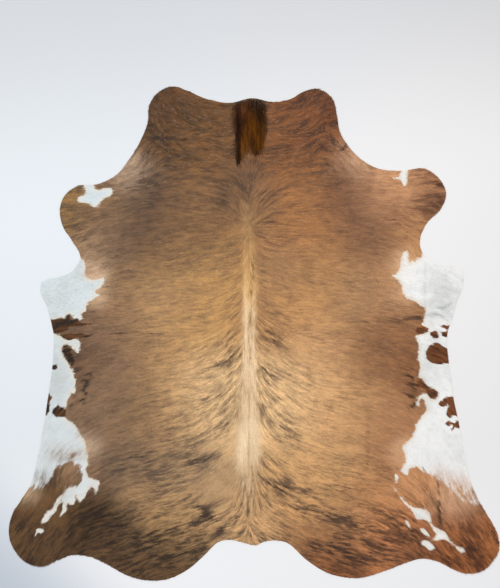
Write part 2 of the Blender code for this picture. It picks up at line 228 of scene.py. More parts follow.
# White and brown patches, as loops of a few points each. Edge is how far the two colours run into each other.
Patch = namedtuple("Patch", "name edge points")
WHITE_PATCHES = [Patch(*row) for row in (
    ("foreleg star, left", 0.7, (
        (-85.5, 77), (-79.6, 77), (-79.8, 73), (-78, 71.8), (-74, 72.6), (-71.5, 72.6), (-70.8, 70.8),
        (-71.8, 69), (-75.5, 66.8), (-77.5, 64.8), (-79.3, 63), (-81, 64.2), (-83.5, 64.8), (-85.6, 65.4),
        (-88.5, 66.6), (-87.5, 68.3), (-85.2, 69.2), (-83.8, 70.8), (-84.8, 72.4))),
    ("lower foreleg, left", 0.8, (
        (-89, 41), (-86.9, 38.6), (-85.4, 36.8), (-84, 34), (-84.8, 30.8), (-84.2, 28.6), (-82, 27.4),
        (-79, 26.9), (-75.2, 28.2), (-75, 26.2), (-76.2, 24), (-79.3, 20.4), (-77.6, 19.3), (-80.8, 16.8),
        (-83.8, 13.6), (-84, 11.3), (-86, 10.8), (-86.4, 6.8), (-89.5, 7), (-90.6, 8.2), (-92, 10),
        (-93, 9.8), (-93.6, 7.4), (-96.5, 7.6), (-99, 7), (-101.4, 6.3), (-106, 5), (-112, 20),
        (-108, 32), (-96, 36), (-92, 38))),
    ("flank band, left", 0.8, (
        (-106, 0.4), (-100.2, 0), (-96, -1.8), (-92, -3.3), (-90, -2.4), (-87.4, -4), (-87.4, -6.8),
        (-88, -9.8), (-90.5, -7.4), (-93.5, -5.6), (-95.4, -6.2), (-96, -8.3), (-95.5, -10.8),
        (-93.9, -13), (-92, -16.3), (-90.4, -19.4), (-89.4, -23.4), (-89.2, -26), (-90, -29.8),
        (-91.4, -29), (-92, -31), (-93.2, -34), (-94.6, -38.4), (-94.6, -42), (-92, -43.8),
        (-88.8, -46.2), (-87, -50.2), (-85, -53.8), (-83.4, -59.8), (-82.8, -64.8), (-84, -68.8),
        (-82.8, -71.2), (-81, -72.4), (-77.4, -74.4), (-77.8, -77.6), (-79.4, -80.8), (-80, -77.2),
        (-81.2, -76.4), (-83, -78.4), (-84.6, -81.6), (-87.4, -84.2), (-89, -80.8), (-90.4, -85.8),
        (-93.4, -84.8), (-94.2, -88.6), (-96.8, -91.2), (-95.6, -87.6), (-96, -84.2), (-97.6, -85),
        (-98.9, -88.8), (-101.8, -91.4), (-104, -94.4), (-106, -94.8), (-104.8, -90.6), (-103.4, -88.8),
        (-100.5, -87.2), (-99.8, -84.2), (-95.5, -79.8), (-94, -77.8), (-90, -76.6), (-96, -78),
        (-104, -84), (-120, -90), (-112, -50), (-107, -20))),
    ("hind leg fleck, left", 0.5, (
        (-107.6, -97.2), (-105, -98.6), (-106, -99.8), (-108, -99.6), (-109.6, -101.4), (-108.8, -99))),
    ("foreleg star, right", 0.7, (
        (73.4, 84), (76.6, 84), (76.8, 78.8), (76.6, 75), (75.4, 72.8), (74.3, 74.8), (73.4, 76.4),
        (69.3, 77.7), (72.6, 78.8), (73.4, 81))),
    ("lower foreleg, right", 0.8, (
        (88, 42), (84.6, 40), (82.8, 37.4), (81.6, 38.2), (80.6, 35.8), (79.2, 36.4), (78, 34.8),
        (77.4, 37.6), (76.2, 41.4), (74.8, 39.8), (73.6, 36.8), (72.8, 32.8), (71.8, 30.4), (68.8, 28.8),
        (71.4, 27.2), (73.4, 25.6), (74.4, 20.8), (75.4, 18.6), (79.5, 16.8), (84, 13.8), (85.6, 12),
        (85.2, 9), (84.8, 6.6), (83.8, 3.8), (85, 3.2), (86.8, 2.2), (86, 0.9), (84.4, 0), (80.6, -1.4),
        (81.2, -3), (82.1, -5), (82.3, -8.4), (82.1, -12.2), (83, -15.4), (82.5, -19.2), (81.8, -23.6),
        (83.8, -22.2), (85.2, -24.8), (87.8, -27.6), (90.6, -28.4), (91.4, -29.4), (90.2, -33.2),
        (88.4, -32.6), (86.6, -29.9), (84, -30.2), (82.3, -31.8), (81.8, -36), (82.5, -36), (82.9, -32.9),
        (84.5, -32.4), (85.5, -33.4), (85.8, -35.4), (86.5, -37.6), (85, -39.8), (82, -43.8),
        (80.3, -48.2), (78.6, -52), (75.6, -54.8), (74.4, -56.8), (75.8, -61.2), (75.6, -64.2),
        (73.8, -67.8), (74.2, -69.4), (76.8, -70.8), (78.2, -67.6), (81.5, -67), (85, -70), (90, -75),
        (98, -81), (107, -87), (122, -93), (112, -40), (104, 0), (112, 30))),
    ("fleck 1", 0.5, ((70.8, -69.2), (72, -70.8), (72, -73.2), (71, -74.8), (70.6, -73))),
    ("fleck 2", 0.5, ((69.5, -76.8), (71, -77.8), (71.8, -79.4), (70, -78.2))),
    ("hind leg streak, upper", 0.8, (
        (72.4, -79.6), (75, -83), (78.6, -86.2), (83.5, -87.8), (86.2, -88.8), (87.6, -90.4),
        (88.4, -94.2), (84.5, -92.8), (82, -93.4), (80.4, -91.8), (79.6, -89.2), (76.6, -86.4),
        (73.8, -82.6))),
    ("hind leg streak, lower", 0.8, (
        (88, -93.6), (89.6, -96.2), (93, -98.2), (95.2, -99.4), (97, -102.2), (100.5, -105.4),
        (105, -109), (104.6, -109.4), (100, -106.2), (97.4, -104), (93.5, -103), (91.4, -104),
        (88.8, -102.8), (90.4, -101.6), (90.8, -99.8), (89.2, -97.8), (88, -95.4))),
    ("fleck 3", 0.5, (
        (82.5, -97.2), (84.6, -97.4), (86.4, -99), (88.8, -103), (86.4, -101.2), (84.2, -99.6))),
    ("fleck 4", 0.5, (
        (83.4, -104.8), (84.6, -103.4), (86.6, -103.8), (90, -107.8), (88, -108.4), (85.2, -106.4))),
    ("fleck 5", 0.5, ((75.8, -93.2), (77, -93.8), (78.3, -97.4), (76.7, -96.2))),
)]
BROWN_PATCHES = [Patch(*row) for row in (
    ("band, left", 0.7, (
        (-106, 7), (-101, 7.2), (-97, 7.6), (-94.4, 7.4), (-93.8, 9.2), (-92.4, 9.4), (-91.8, 6.4),
        (-90, 7), (-88.6, 7.6), (-87, 6), (-83.6, 5.2), (-79.6, 5), (-83, 4), (-88, 3.6), (-92.4, 3),
        (-93.6, 1.4), (-97, 0.4), (-102, 0.4), (-106, 1))),
    # The slit under the band is painted shadow in the crease there, coloured as a brown patch
    ("slit, left", 0.5, (
        (-96.6, -1.4), (-93, -0.2), (-88, -0.2), (-84, -0.4), (-81, -0.9), (-84.6, -1.8), (-88.6, -2.2),
        (-92, -3.4), (-94.4, -2.8))),
    ("strip, left", 1.2, (
        (-95.8, -7), (-94, -5.8), (-92.2, -7), (-91.4, -10), (-90, -14), (-91.2, -15.4), (-94, -12.8),
        (-95.6, -9.8))),
    ("navel tuft, right", 1.3, (
        (82, -22), (85.5, -25), (89, -28), (91.5, -28.8), (91, -31.8), (88, -31.8), (86.5, -29.3),
        (83.5, -27.3), (81.4, -25.3))),
    ("flank dot, left", 0.5, (
        (-101.2, -16.4), (-99.8, -15.4), (-98.1, -16.8), (-99.6, -18.3), (-101.2, -17.8))),
    ("flank edge, left", 0.6, (
        (-104, -29), (-102.4, -30.2), (-101, -31.8), (-102.2, -34.6), (-102.4, -37.6), (-103.6, -40.6),
        (-107, -42), (-107, -32))),
    ("flank heart, left", 0.6, (
        (-100.4, -38), (-99, -36.8), (-97.8, -35.3), (-96.4, -36.8), (-94.4, -37.6), (-94.4, -41.4),
        (-97, -41.8), (-99, -41.8), (-100.6, -40))),
    ("leg tuft, left", 1.4, (
        (-99.5, -67.4), (-96, -65.2), (-91.8, -63.9), (-88, -64.8), (-85.9, -66), (-86.8, -68.3),
        (-85.7, -71.2), (-88, -75.8), (-92, -77), (-95.6, -78.6), (-99, -83), (-104, -87), (-107, -84),
        (-101, -78))),
    ("leg, left", 2.8, (
        (-122, -78), (-112, -76.6), (-106, -76.2), (-100, -70.6), (-95, -70), (-94, -76.6),
        (-98.8, -82.2), (-101.4, -86.4), (-106, -90), (-112, -96), (-122, -96))),
    ("flank dot, right", 0.6, ((81, 2.4), (83.4, 3.6), (86.6, 3), (87.6, 1.6), (85.6, 0.2), (82, -0.4))),
    ("flank dot 1, right", 0.5, (
        (87.9, -0.4), (89, 1.3), (90.6, 1.4), (92.2, 0.2), (92.4, -1.8), (90.4, -2.6), (88.8, -1.6))),
    ("flank dot 2, right", 0.5, ((94, 0.7), (95.6, 1.3), (98, 1), (98, -1.3), (95.2, -1.5), (93.9, -0.6))),
    ("flank dot 3, right", 0.6, ((93.4, 3.4), (95, 4.2), (98, 4.4), (98, 2.2), (95, 2.5))),
    ("flank disc, right", 0.5, (
        (85.9, -9.8), (86.8, -7.2), (88.6, -5.5), (91, -4.7), (93.2, -5.4), (95.6, -7.1), (101, -8.4),
        (101, -15.2), (97, -15), (92, -15.3), (88.2, -14.4), (86.4, -12.6))),
    ("flank tuft 1, right", 0.6, (
        (92.2, -35.4), (93, -33.8), (94.6, -33.2), (95.2, -32.2), (98, -31.4), (101, -31.4), (104, -41),
        (101.4, -41.6), (99.8, -40.8), (99, -42.2), (97.4, -41.9), (96.1, -40.4), (96.3, -38.4),
        (97.2, -36), (94.6, -36.9))),
    ("flank tuft 2, right", 0.6, (
        (95.6, -44.6), (96.6, -43.5), (99, -44.5), (100.3, -45.2), (101.4, -43.6), (103.6, -44),
        (103, -47), (100.5, -47.8), (98.9, -48.4), (99.2, -46.2), (97, -46.1))),
    ("leg, right", 2.4, (
        (82, -69.6), (89, -71), (95, -75), (101, -79.6), (109, -84), (124, -87), (124, -104), (110, -101),
        (98, -92), (89, -84), (82, -76))),
)]
PATCH_STEP = 0.6               # spacing of the points on a patch's smoothed loop
PATCH_FADE = 3.0               # how far in and out of a patch it is felt, in widths of its edge

# Dark strokes: darker hair, and painted shade in creases and folds. Painted shade are the wrinkles round the
# navel and in the white, the slits, the crosswise bands along the folds over the flanks, the neck's creases,
# the shoulders' fold and line, the upright fold, the leg crease, loin line 1, the white's folds and shades,
# and partly the parting.
Stroke = namedtuple("Stroke", "name width strength points")
DARK_HAIR_AND_SHADE_STROKES = [Stroke(*row) for row in (
    # Painted shade in the slit, above the band and in the wrinkles round the navel on the left
    ("slit tail, left", 0.7, 2.0, ((-84, -0.9), (-74, -0.3), (-64, 0.2), (-54, 0.1), (-44, 0.1))),
    ("flank shade, left", 3.0, 0.6, ((-94.5, -6), (-93.4, -10), (-91, -15), (-87, -20))),
    ("band shade, left", 3.0, 1.2, ((-103, 5.6), (-98, 5.2), (-93, 6), (-88, 5.4))),
    ("wrinkle 1", 1.3, 3.1, ((-84.2, -20.6), (-82.2, -20), (-81, -22), (-82.8, -23.8))),
    ("wrinkle 2", 1.3, 3.1, ((-86.4, -23.8), (-84.2, -23.3), (-83.2, -25.3), (-85.4, -27.2))),
    ("wrinkle 3", 1.3, 3.1, ((-85.6, -28.4), (-84.2, -29.4), (-83.4, -31))),
    ("wrinkle 4", 1.3, 3.1, ((-89.2, -32), (-87, -33.4), (-84.6, -32.6), (-85.6, -35))),
    ("heart edge, left", 1.0, 1.4, ((-90, -32.4), (-91.4, -36), (-92, -40))),
    # Painted shade along the crosswise fold over the right flank, and in the wrinkles round the navel
    ("fold shade, right", 2.0, 1.7, ((68, 6.8), (76, 7.6), (82, 8.6), (88, 9.2), (94, 9.4))),
    ("fold shade tail, right", 0.6, 1.1, ((30, 6), (50, 5.6), (66, 6.2), (84, 7.6))),
    ("edge, right", 1.2, 1.2, ((80, 1.6), (83, 2.4), (86, 2.2))),
    ("wrinkle 5", 1.2, 2.4, ((76, -20.4), (78.4, -21.6), (80, -24))),
    ("wrinkle 6", 1.2, 2.6, ((75, -25.4), (78.6, -25.8), (80.8, -28))),
    ("wrinkle 7", 1.1, 2.4, ((74.6, -29.4), (77, -31), (79.8, -31.4))),
    ("wrinkle 8", 1.2, 2.8, ((76.4, -37), (79.2, -36), (81.6, -34.4))),
    ("tuft shade, right", 2.6, 1.4, ((82.6, -22.4), (85, -26), (88, -29), (90, -30.6))),
    ("navel shade, right", 4.0, 1.2, ((79, -18), (80, -26), (79, -34))),
    # Painted shade in the neck's creases and slits
    ("neck crease shade, left", 2.0, 2.2, ((-55, 97), (-46, 97.6), (-32, 96.6))),
    ("neck line, lower left", 1.4, 1.4, ((-54, 91), (-46, 90.2), (-37, 89.6))),
    ("neck slit, left", 0.9, 1.6, ((-45, 82.6), (-43.4, 85), (-42.4, 87.4))),
    ("neck frizz 1", 1.0, 2.0, ((37, 100), (39, 97), (38, 94))),
    ("neck frizz 2", 1.2, 2.4, ((44, 97), (46, 95), (44.6, 92.6), (42, 91.6))),
    ("neck frizz 3", 1.0, 2.0, ((33, 95), (35, 92), (38, 91))),
    ("neck slit, right", 1.0, 2.0, ((34.4, 88.6), (35.8, 86), (37.4, 83))),
    # Painted shade along the shoulders' fold and line, the upright fold and the leg crease
    ("shoulder fold, left", 3.4, 0.6, ((-49, 78), (-51, 66), (-54, 52))),
    ("shoulder line, right", 1.0, 1.2, ((68, 57.4), (71, 56), (73.4, 54), (75.4, 52.6))),
    ("upright fold, right", 1.6, 0.9, ((56.4, -37.6), (57, -50), (56.4, -68))),
    ("leg crease shade, right", 1.3, 1.9, ((92, -68), (92.6, -84), (93.4, -100))),
    ("foot edge, right", 1.4, 1.4, ((104, -106), (112, -108), (121, -107.4))),
    ("loin line 1", 1.0, 2.2, ((1, -69), (4, -72), (8, -75.4), (12, -77.4), (18, -79.2), (22, -79.8))),
    ("loin line 2", 0.7, 1.4, ((10, -74), (15, -76.4), (22, -77.4))),
    ("loin line 3", 0.7, 1.2, ((4, -64), (7, -67), (12, -69))),
    ("parting", 0.5, 1.3, ((-2, -4), (-2.3, -24), (-2.6, -58), (-2.6, -72))),
    ("stripe gold", 1.4, 0.3, ((-1.5, 22), (-1.5, 12), (-1.7, 2), (-1.9, -8))),
    ("stripe mark", 1.7, 2.0, ((-1.4, 36), (-0.9, 30), (-0.8, 25), (-1.2, 19))),
    ("stripe line, left", 1.6, -1.2, ((-4.4, 38), (-4.2, 26), (-4.3, 10), (-4.3, -8), (-4.4, -22))),
    ("stripe line, right", 1.2, -0.9, ((0.1, 30), (0.2, 18), (0, 4), (-0.4, -10), (-0.6, -24))),
    ("stripe shade, right", 3.0, 0.7, ((3.8, 50), (4.2, 36), (4.6, 18), (5, 8))),
    ("stripe shade, left", 3.0, 0.4, ((-8, 44), (-8.4, 30), (-8.6, 16))),
    ("tail grey", 2.4, 1.2, ((-5, -73), (-4.6, -78), (-4.2, -82))),
    ("tail stroke", 0.8, 1.5, ((-1.4, -66), (-0.8, -72), (-1.4, -78))),
    ("tail tuft", 1.2, 1.5, ((-7, -88.6), (-8.4, -92), (-9.6, -96))),
    # Painted shade in the tail slit
    ("tail slit", 0.8, 1.8, ((-2.9, -84), (-2.6, -92), (-1.8, -97), (-1.4, -103))),
    ("loin wedge, left", 3.4, 1.7, ((-34, -87.6), (-26, -87.4), (-21.6, -91), (-16.4, -98))),
    ("thigh black 1", 5.0, 0.9, ((-90, -89), (-83, -93), (-75, -90), (-66, -93))),
    ("thigh black 2", 3.4, 0.9, ((-62, -97), (-56, -101), (-51, -102.6))),
    ("foreleg dark, right", 8.0, 1.4, ((80, 79), (86, 79), (91, 77.4), (95, 72))),
    ("foreleg dark low, right", 5, 0.9, ((80, 65), (86, 64.4), (91, 64), (93, 66))),
    ("foreleg dark, left", 3.2, 0.9, ((-93, 75), (-89, 76), (-85.6, 75))),
    ("foreleg dark low, left", 3.6, 0.9, ((-91, 57), (-89, 52), (-85, 48))),
    # Painted shade along the white's folds, wrinkles and shaded parts
    ("white fold, right", 0.9, 1.5, ((85.6, 36), (85.2, 22), (85.6, 10))),
    ("white shade, right", 10, 0.8, ((94, 32), (94, 20), (96, 10))),
    ("white wrinkle 1", 0.8, 2.6, ((91, 13), (94.6, 13), (99, 15.6))),
    ("white wrinkle 2", 0.8, 2.0, ((88, 10.4), (93, 9), (97, 6))),
    ("white shade, left", 4, 1.0, ((-96, 27), (-95, 20), (-96, 12))),
    ("white shade 2, left", 5, 0.9, ((-106, 24), (-101, 16), (-99, 8))),
    ("white shade 3, left", 12, 1.2, ((-97, -8), (-96, -20), (-98, -30))),
)]

# Dark clusters of the brindle, combed out along the lay: a place, its length and width, and how dark it is.
Cluster = namedtuple("Cluster", "x y length width strength")
BRINDLE = [Cluster(*row) for row in (
    (7.8, 0.4, 15, 9, 1.5), (12, -4.6, 8, 6, 1.1), (10, 10.6, 12, 4, 0.7), (-11.5, 14.5, 13, 8, 0.6),
    (5.8, -20, 10, 3.6, 1.7), (6, -28, 9, 3, 1.0), (4, -37, 8, 2.6, 0.8), (10, -36, 9, 3, 0.6),
    (16, -46.6, 11, 5, 0.9), (12, -52, 9, 3, 0.7), (-10.2, -10, 12, 8, 1.4), (-13.4, -1.6, 12, 4.6, 0.7),
    (-18, -17, 14, 4, 0.6), (-10, -20, 9, 3, 0.6), (-24, -33, 13, 5, 0.7), (-12, -36, 9, 3, 0.2),
    (-15.6, -46, 9, 3.6, 1.5), (-27, -64, 12, 4.4, 1.5), (-34, -63, 12, 5, 0.8), (-38, -54, 20, 10, 0.4),
    (-52, -66, 14, 8, 0.5), (-20, -60, 9, 3, 0.7), (-24, -90, 11, 5, 1.1), (-16, -98, 8, 3, 0.9),
    (-84, -90, 10, 6, 0.8), (-72, -92, 14, 9, 0.8), (-66, -104, 14, 6, 0.7), (-40, -111, 14, 3, 0.9),
    (-34, -104, 14, 3, 0.6), (-52, -116, 12, 4, 0.8), (-30, -95, 18, 3, 0.9), (-38, -83, 14, 3, 0.7),
    (-50, -92, 12, 3, 0.8), (-40, -97, 16, 3, 0.8), (-64, -66, 22, 9, 0.9), (-44, -78, 14, 5, 0.8),
    (-54, -105, 10, 6, 1.4), (77, -97, 8, 5, 1.2), (-44, -102, 18, 3, 0.9), (38, -91, 12, 5, 0.7),
    (24, -88, 14, 4, 0.8), (50, -93, 9, 5, 0.9), (31, -107, 6, 4, 1.1), (46, -104, 8, 6, 0.8),
    (51, -112, 10, 4, 0.9), (40, -108, 6, 4, 0.7), (82, -94, 8, 4, 1.1), (68, -90, 12, 5, 0.8),
    (26, -80, 16, 4, 0.8), (60, -99, 9, 5, 0.9), (66, -108, 10, 5, 0.7), (18, -64, 12, 3, 0.6),
    (-38, 8, 18, 5, 0.35), (44, 26, 20, 6, 0.3), (-40, 36, 18, 5, 0.4), (30, 82, 14, 5, 0.4),
    (14, 92, 9, 4, 0.5), (5, 56, 10, 6, 0.8), (10, 46, 12, 5, 0.6), (12, 20, 12, 4, 0.4),
    (-12, 30, 12, 3, 0.4), (34, -2, 18, 4, 0.4), (60, -8, 14, 4, 0.4), (-64, 62, 18, 6, 0.3),
    (56, 50, 14, 6, 0.4), (-52, 76, 8, 6, 0.7), (-1, 82, 8, 4, 0.9), (-16, 66, 14, 6, 0.5),
    (-118, -98, 8, 7, 1.5), (-112, -113, 12, 6, 1.2), (-99, -117, 10, 5, 1.0), (-94, -101, 8, 5, 0.6),
    (118, -100, 8, 8, 0.8), (112, -114, 12, 5, 0.9), (98, -112, 8, 6, 0.9), (104, -97, 8, 5, 0.6),
    (108, -104, 12, 8, 0.8), (-55, 88, 9, 7, 0.9), (90, -84, 12, 5, 0.5), (34, 98, 10, 6, 0.9),
    (42, 92, 10, 5, 1.0), (38, 106, 8, 5, 0.7), (24, 104, 10, 4, 0.6), (-44, 94, 16, 5, 0.7),
    (-50, 104, 10, 5, 0.5), (-34, 108, 8, 4, 0.5), (-98, 58, 6, 12, 0.6), (-96, 72, 6, 6, 0.7),
    (-86, 52, 10, 5, 0.5),
)]
# Pale clusters in the same way
LIGHT_BRINDLE = [Cluster(*row) for row in (
    (22, -104, 12, 4, 0.6), (70, -85, 12, 5, 0.6), (99, -46, 6, 5, 1.4), (96, 3.4, 5, 3, 1.4),
    (-2.6, -52, 28, 10, 0.55), (-10, -55, 18, 8, 0.7), (-16, -22, 16, 6, 0.5), (-30, 30, 22, 6, 0.3),
    (22, -8, 13, 9, 0.9), (16, -26, 12, 5, 0.5), (33, -66, 16, 8, 0.9), (38, -43, 12, 8, 0.4),
    (43, -84, 14, 7, 1.3), (33, -99, 12, 6, 1.1), (-21, -56, 14, 7, 0.5), (-18, -79, 12, 8, 1.5),
    (-12, -68, 14, 7, 1.3), (11, -58, 12, 6, 1.4), (-62, -78, 14, 5, 0.6), (-44, -87, 28, 5, 0.5),
    (16, -62, 14, 5, 0.5), (26, -48, 18, 6, 0.5), (48, -60, 16, 8, 0.4), (-97, -94, 4, 7, 0.6),
    (22, -98, 18, 5, 0.5), (56, -82, 14, 4, 0.5), (84, 72, 16, 3, 1.1), (-88, 66, 12, 4, 0.6),
    (-40, -22, 18, 5, 0.3), (4, -98, 8, 4, 0.5), (-64, -100, 9, 3, 0.7), (-80, -105, 8, 3, 0.6),
    (-90, -84, 6, 3, 0.5), (-92, -92, 12, 5, 0.7), (-60, 82, 12, 6, 0.6), (50, 84, 10, 8, 0.5),
    (-52, -96, 14, 4, 0.3), (-106, -86, 8, 5, 1.0), (-99, -107, 8, 4, 0.5), (98, -88, 8, 4, 0.4),
    (109, -93, 8, 4, 0.4), (-84, 66, 10, 5, 0.5), (-8, 52, 10, 3, 0.9), (-7, 60, 8, 3, 0.5),
    (-28, -76, 16, 4, 0.6), (6.2, 8.2, 12, 3, 0.8), (12, -9, 10, 3, 0.5),
)]

# Where the brown hair runs out thinly over the white
VEILS = [Cluster(*row) for row in (
    (92, -73, 8, 10, 0.4), (100, -80, 10, 14, 0.8), (108, -86, 10, 14, 0.8), (-98, -60, 6, 8, 0.6),
    (-90, -61.4, 6, 7, 0.4), (-104, -76, 9, 12, 0.7), (-85, -48, 8, 4, 0.5), (-88, -43, 5, 3, 0.4),
    (-81.4, -58, 10, 3, 0.45), (76, -52, 5, 6, 0.2), (74, 34, 6, 5, 0.2), (-84, 30, 6, 5, 0.2),
)]

# Where the hair hangs further over the cut edge than elsewhere, in millimetres
OVERHANG = 2.0
Fringe = namedtuple("Fringe", "x y reach extra")
FRINGES = [Fringe(*row) for row in (
    (-52, 112, 6, 3), (40, 112, 6, 3), (-3, 117, 5, 6), (-104, -115, 8, 6), (-77, -105, 8, 5),
    (110, -116, 8, 6), (122, -108, 6, 6), (62, -112, 10, 3), (-94, 60, 6, 2), (92, 62, 6, 2),
    (-52, -118, 14, 2),
)]

# The pale stripe along the back: its middle, half its width and how clear it is, from the tail upwards
Stripe = namedtuple("Stripe", "y centre half strength")
BACK_STRIPE = [Stripe(*row) for row in (
    (-92, -2.6, 2.0, 0.0), (-80, -3.2, 3.0, 0.35), (-72, -2.8, 4.4, 0.75), (-62, -2.7, 5.6, 1.0),
    (-46, -2.7, 5.2, 1.0), (-30, -2.6, 4.0, 1.0), (-14, -2.3, 3.2, 1.0), (10, -2.2, 3.1, 1.0),
    (26, -2.2, 3.1, 0.95), (36, -2.4, 2.9, 0.55), (50, -2.8, 2.8, 0.3), (62, -3.2, 3.0, 0.2),
    (70, -3.2, 2.8, 0.0),
)]

# The mane: the loop that its roots fill, and its tones, each over an oval as wide and long as given
MANE_LOOP = (
    (-9.8, 116.8), (-5, 118), (0, 118.4), (5, 117.4), (6.2, 112), (6.4, 105), (6, 100.4), (4.6, 96.8),
    (2.8, 93.6), (0.6, 91.8), (-1.6, 94), (-4, 94.4), (-5.8, 93), (-7, 89), (-8.6, 87.6), (-9.6, 90),
    (-9.9, 100))
# Painted shade on the coat under the mane, over the loop that its roots fill
MANE_SHADE_BED = Patch("painted shade under the mane", 1.2, MANE_LOOP)
Tone = namedtuple("Tone", "name x y wide long colour")
MANE_TONES = [Tone(*row) for row in (
    ("left band", -7.7, 101, 0.9, 16, (24, 10, 4)), ("left band edge", -10.6, 98, 1.0, 14, (92, 60, 36)),
    ("top edge", -1, 116, 6, 3.2, (44, 23, 6)), ("red spot", -5.2, 112.4, 1.4, 2.4, (108, 60, 32)),
    ("middle, dark", -4.8, 105.4, 1.5, 3.6, (56, 30, 10)),
    ("middle, gold", -0.8, 102.6, 1.8, 4.6, (104, 58, 8)),
    ("right band", 3.6, 108.6, 2.0, 6, (40, 22, 4)), ("right band edge", 6.2, 105, 0.9, 8, (98, 62, 34)),
    ("left gold", -4.6, 96, 1.6, 5, (108, 62, 16)), ("inner black", -1.1, 97.4, 0.9, 2.4, (44, 24, 8)),
    ("right gold", 3, 98, 2.2, 5, (98, 56, 4)), ("hooked tip", 1.8, 90.4, 1.6, 2.0, (50, 26, 10)),
    ("lower gold", -3.6, 90.6, 1.6, 2.2, (126, 84, 46)),
)]

# Creases and folds finer than the frame's: a route and its reach to each side, and its rise in millimetres
Crease = namedtuple("Crease", "route reach rise")
CREASES = [Crease(*row) for row in (
    (((-101, -0.6), (-95, -1.2), (-88, -0.8), (-80, -0.6)), 0.9, -1.6),
    (((-80, -0.6), (-70, -0.1), (-60, 0.1), (-53, 0)), 0.8, -0.8),
    (((-99, 3.4), (-92, 4), (-85, 3.6)), 1.8, 1.8), (((-92, 6), (-87, 6.8), (-81, 6.2)), 0.7, -1.2),
    (((-85, -19.4), (-83, -20.6), (-82, -22.6)), 0.7, 1.2),
    (((-86.4, -24.8), (-84, -22.9), (-82.2, -24.4)), 0.7, 1.3),
    (((-85.4, -28.4), (-83.2, -29.8), (-83.4, -31.6)), 0.7, 1.2),
    (((-88, -32.8), (-85, -33.8), (-82.8, -32.8)), 0.8, 1.4),
    (((66, 6.4), (75, 7.6), (85, 8.6)), 1.1, 1.6), (((48, 5.2), (58, 5.8), (66, 6.4)), 0.9, -0.8),
    (((75.6, -20), (78.4, -21.6), (80, -24)), 0.7, 1.2),
    (((75, -25.2), (78.6, -25.6), (80.6, -28)), 0.7, 1.2),
    (((74.4, -29.2), (77, -30.8), (80, -31.2)), 0.7, 1.1),
    (((76.2, -37), (79.2, -35.8), (81.6, -34)), 0.8, 1.4),
    (((85.2, 36), (84.8, 22), (85.4, 11)), 0.8, -1.4), (((88, 36), (87.4, 24), (88.4, 12)), 1.6, 1.0),
    (((90, 9.6), (94, 9), (97, 7.8)), 0.7, -1.4), (((94.4, 8.6), (97, 10), (100, 11.4)), 0.7, -1.4),
    (((-95.6, 24), (-94.6, 18), (-95, 12)), 1.2, -1.6), (((-101, 30), (-97, 26), (-93, 24)), 1.6, 1.0),
    (((56, -37), (57, -50), (56.4, -68)), 1.2, -1.2), (((54, -38), (54.6, -52), (54, -66)), 2.2, 0.9),
    (((91.2, -72), (91, -84), (91.8, -100)), 0.9, -1.0),
    (((-55, 97.4), (-46, 98), (-34, 97.2)), 1.2, -1.0),
    (((-54, 94.6), (-44, 94.4), (-36, 93.8)), 1.8, 0.8), (((36, 92), (40, 95), (46, 92)), 1.6, 1.4),
    (((33, 99), (38, 100), (43, 97)), 1.4, 1.0), (((-45, 82.4), (-43.4, 85), (-42.4, 87.6)), 0.7, -1.2),
    (((35.4, 88.4), (36.6, 85.4), (38.4, 82.6)), 0.7, -1.2),
    (((71, 56), (73.4, 54), (75.6, 52.4)), 0.8, -0.9),
    (((1, -68.6), (8, -75.2), (18, -79.2), (23, -80)), 0.8, -0.8),
    (((-2.6, -54), (-2.8, -74), (-2.6, -104)), 0.8, -1.2), (((-56, 60), (-54, 44), (-58, 30)), 4.0, 0.8),
    (((60, 62), (58, 50), (62, 38)), 4.0, 0.8),
)]

# The grain of the coat: how much the streaks, clouds, mottle, single tufts and dark marks count, over a base
# The dark marks, the shade column, also hold painted shade in creases, folds and under the mane
Grain = namedtuple("Grain", "base broad narrow fine cloud mottle odd shade", defaults=(0,) * 8)
PLAIN_GRAIN = Grain(narrow=0.02, fine=0.09, cloud=0.07, mottle=0.6, odd=0.6)
BRINDLE_GRAIN = Grain(broad=0.13, narrow=0.15, fine=0.20)
MARK_GRAIN = Grain(base=0.75, narrow=0.3, fine=0.4)
STRIPE_GRAIN = Grain(base=0.9, narrow=0.15, odd=0.3)
DEPTH_GRAIN = Grain(narrow=0.3, fine=0.5, odd=0.3, shade=1.0)
RAGGED_GRAIN = Grain(narrow=0.25, fine=0.35, odd=0.8)
SPOT_GRAIN = Grain(base=0.5, narrow=0.35, fine=0.2, odd=0.4, shade=0.35)
# In the white hair, the shade column is painted shade along its folds and creases
WHITE_GRAIN = Grain(base=0.10, narrow=0.05, cloud=0.10, mottle=0.8, odd=0.2, shade=0.26)
VEIL_GRAIN = RAGGED_GRAIN._replace(base=1.0)
HALF_DARK = 0.45               # how far between its light and dark colour the coat is where it is plain
MARK_DEPTH = 0.34              # how much a dark mark of strength 1 adds to that

# Colours of the coat and the white hair
STRIPE_PALE = (230, 210, 178)
STRIPE_GOLD = (212, 174, 116)
STRIPE_SHADE = (166, 124, 70)
# The deepest brown of the darkest hair, also used for painted shade deep in creases and under the mane
DEEPEST = (52, 37, 26)
GREY_HAIR = (206, 190, 168)
# Painted light on the white hair: cool shade on the left, warm light on the right
WHITE_LEFT_COOL_SHADE = (213, 221, 224)
WHITE_RIGHT_WARM_LIGHT = (243, 242, 240)
# Grey of the white hair: its own uneven grey, and painted shade along its folds and creases
WHITE_GREY_AND_SHADE = (188, 191, 188)
WHITE_CREAM = (228, 212, 186)
OLIVE_LIGHT = (94, 58, 26)
OLIVE_DARK = (32, 19, 8)
SPOT_LIGHT = (116, 68, 38)
SPOT_DARK = (74, 41, 21)
COAT_GAIN = 1.4                # makes up for the shade between the locks

# How strongly each of them shows at most
STRIPE_CALM_SHARE = 0.5
STRIPE_SHADE_SHARE = 0.85
DEEPEST_SHARE = 0.85
GREY_SHARE = 0.14
CREAM_SHARE = 0.45

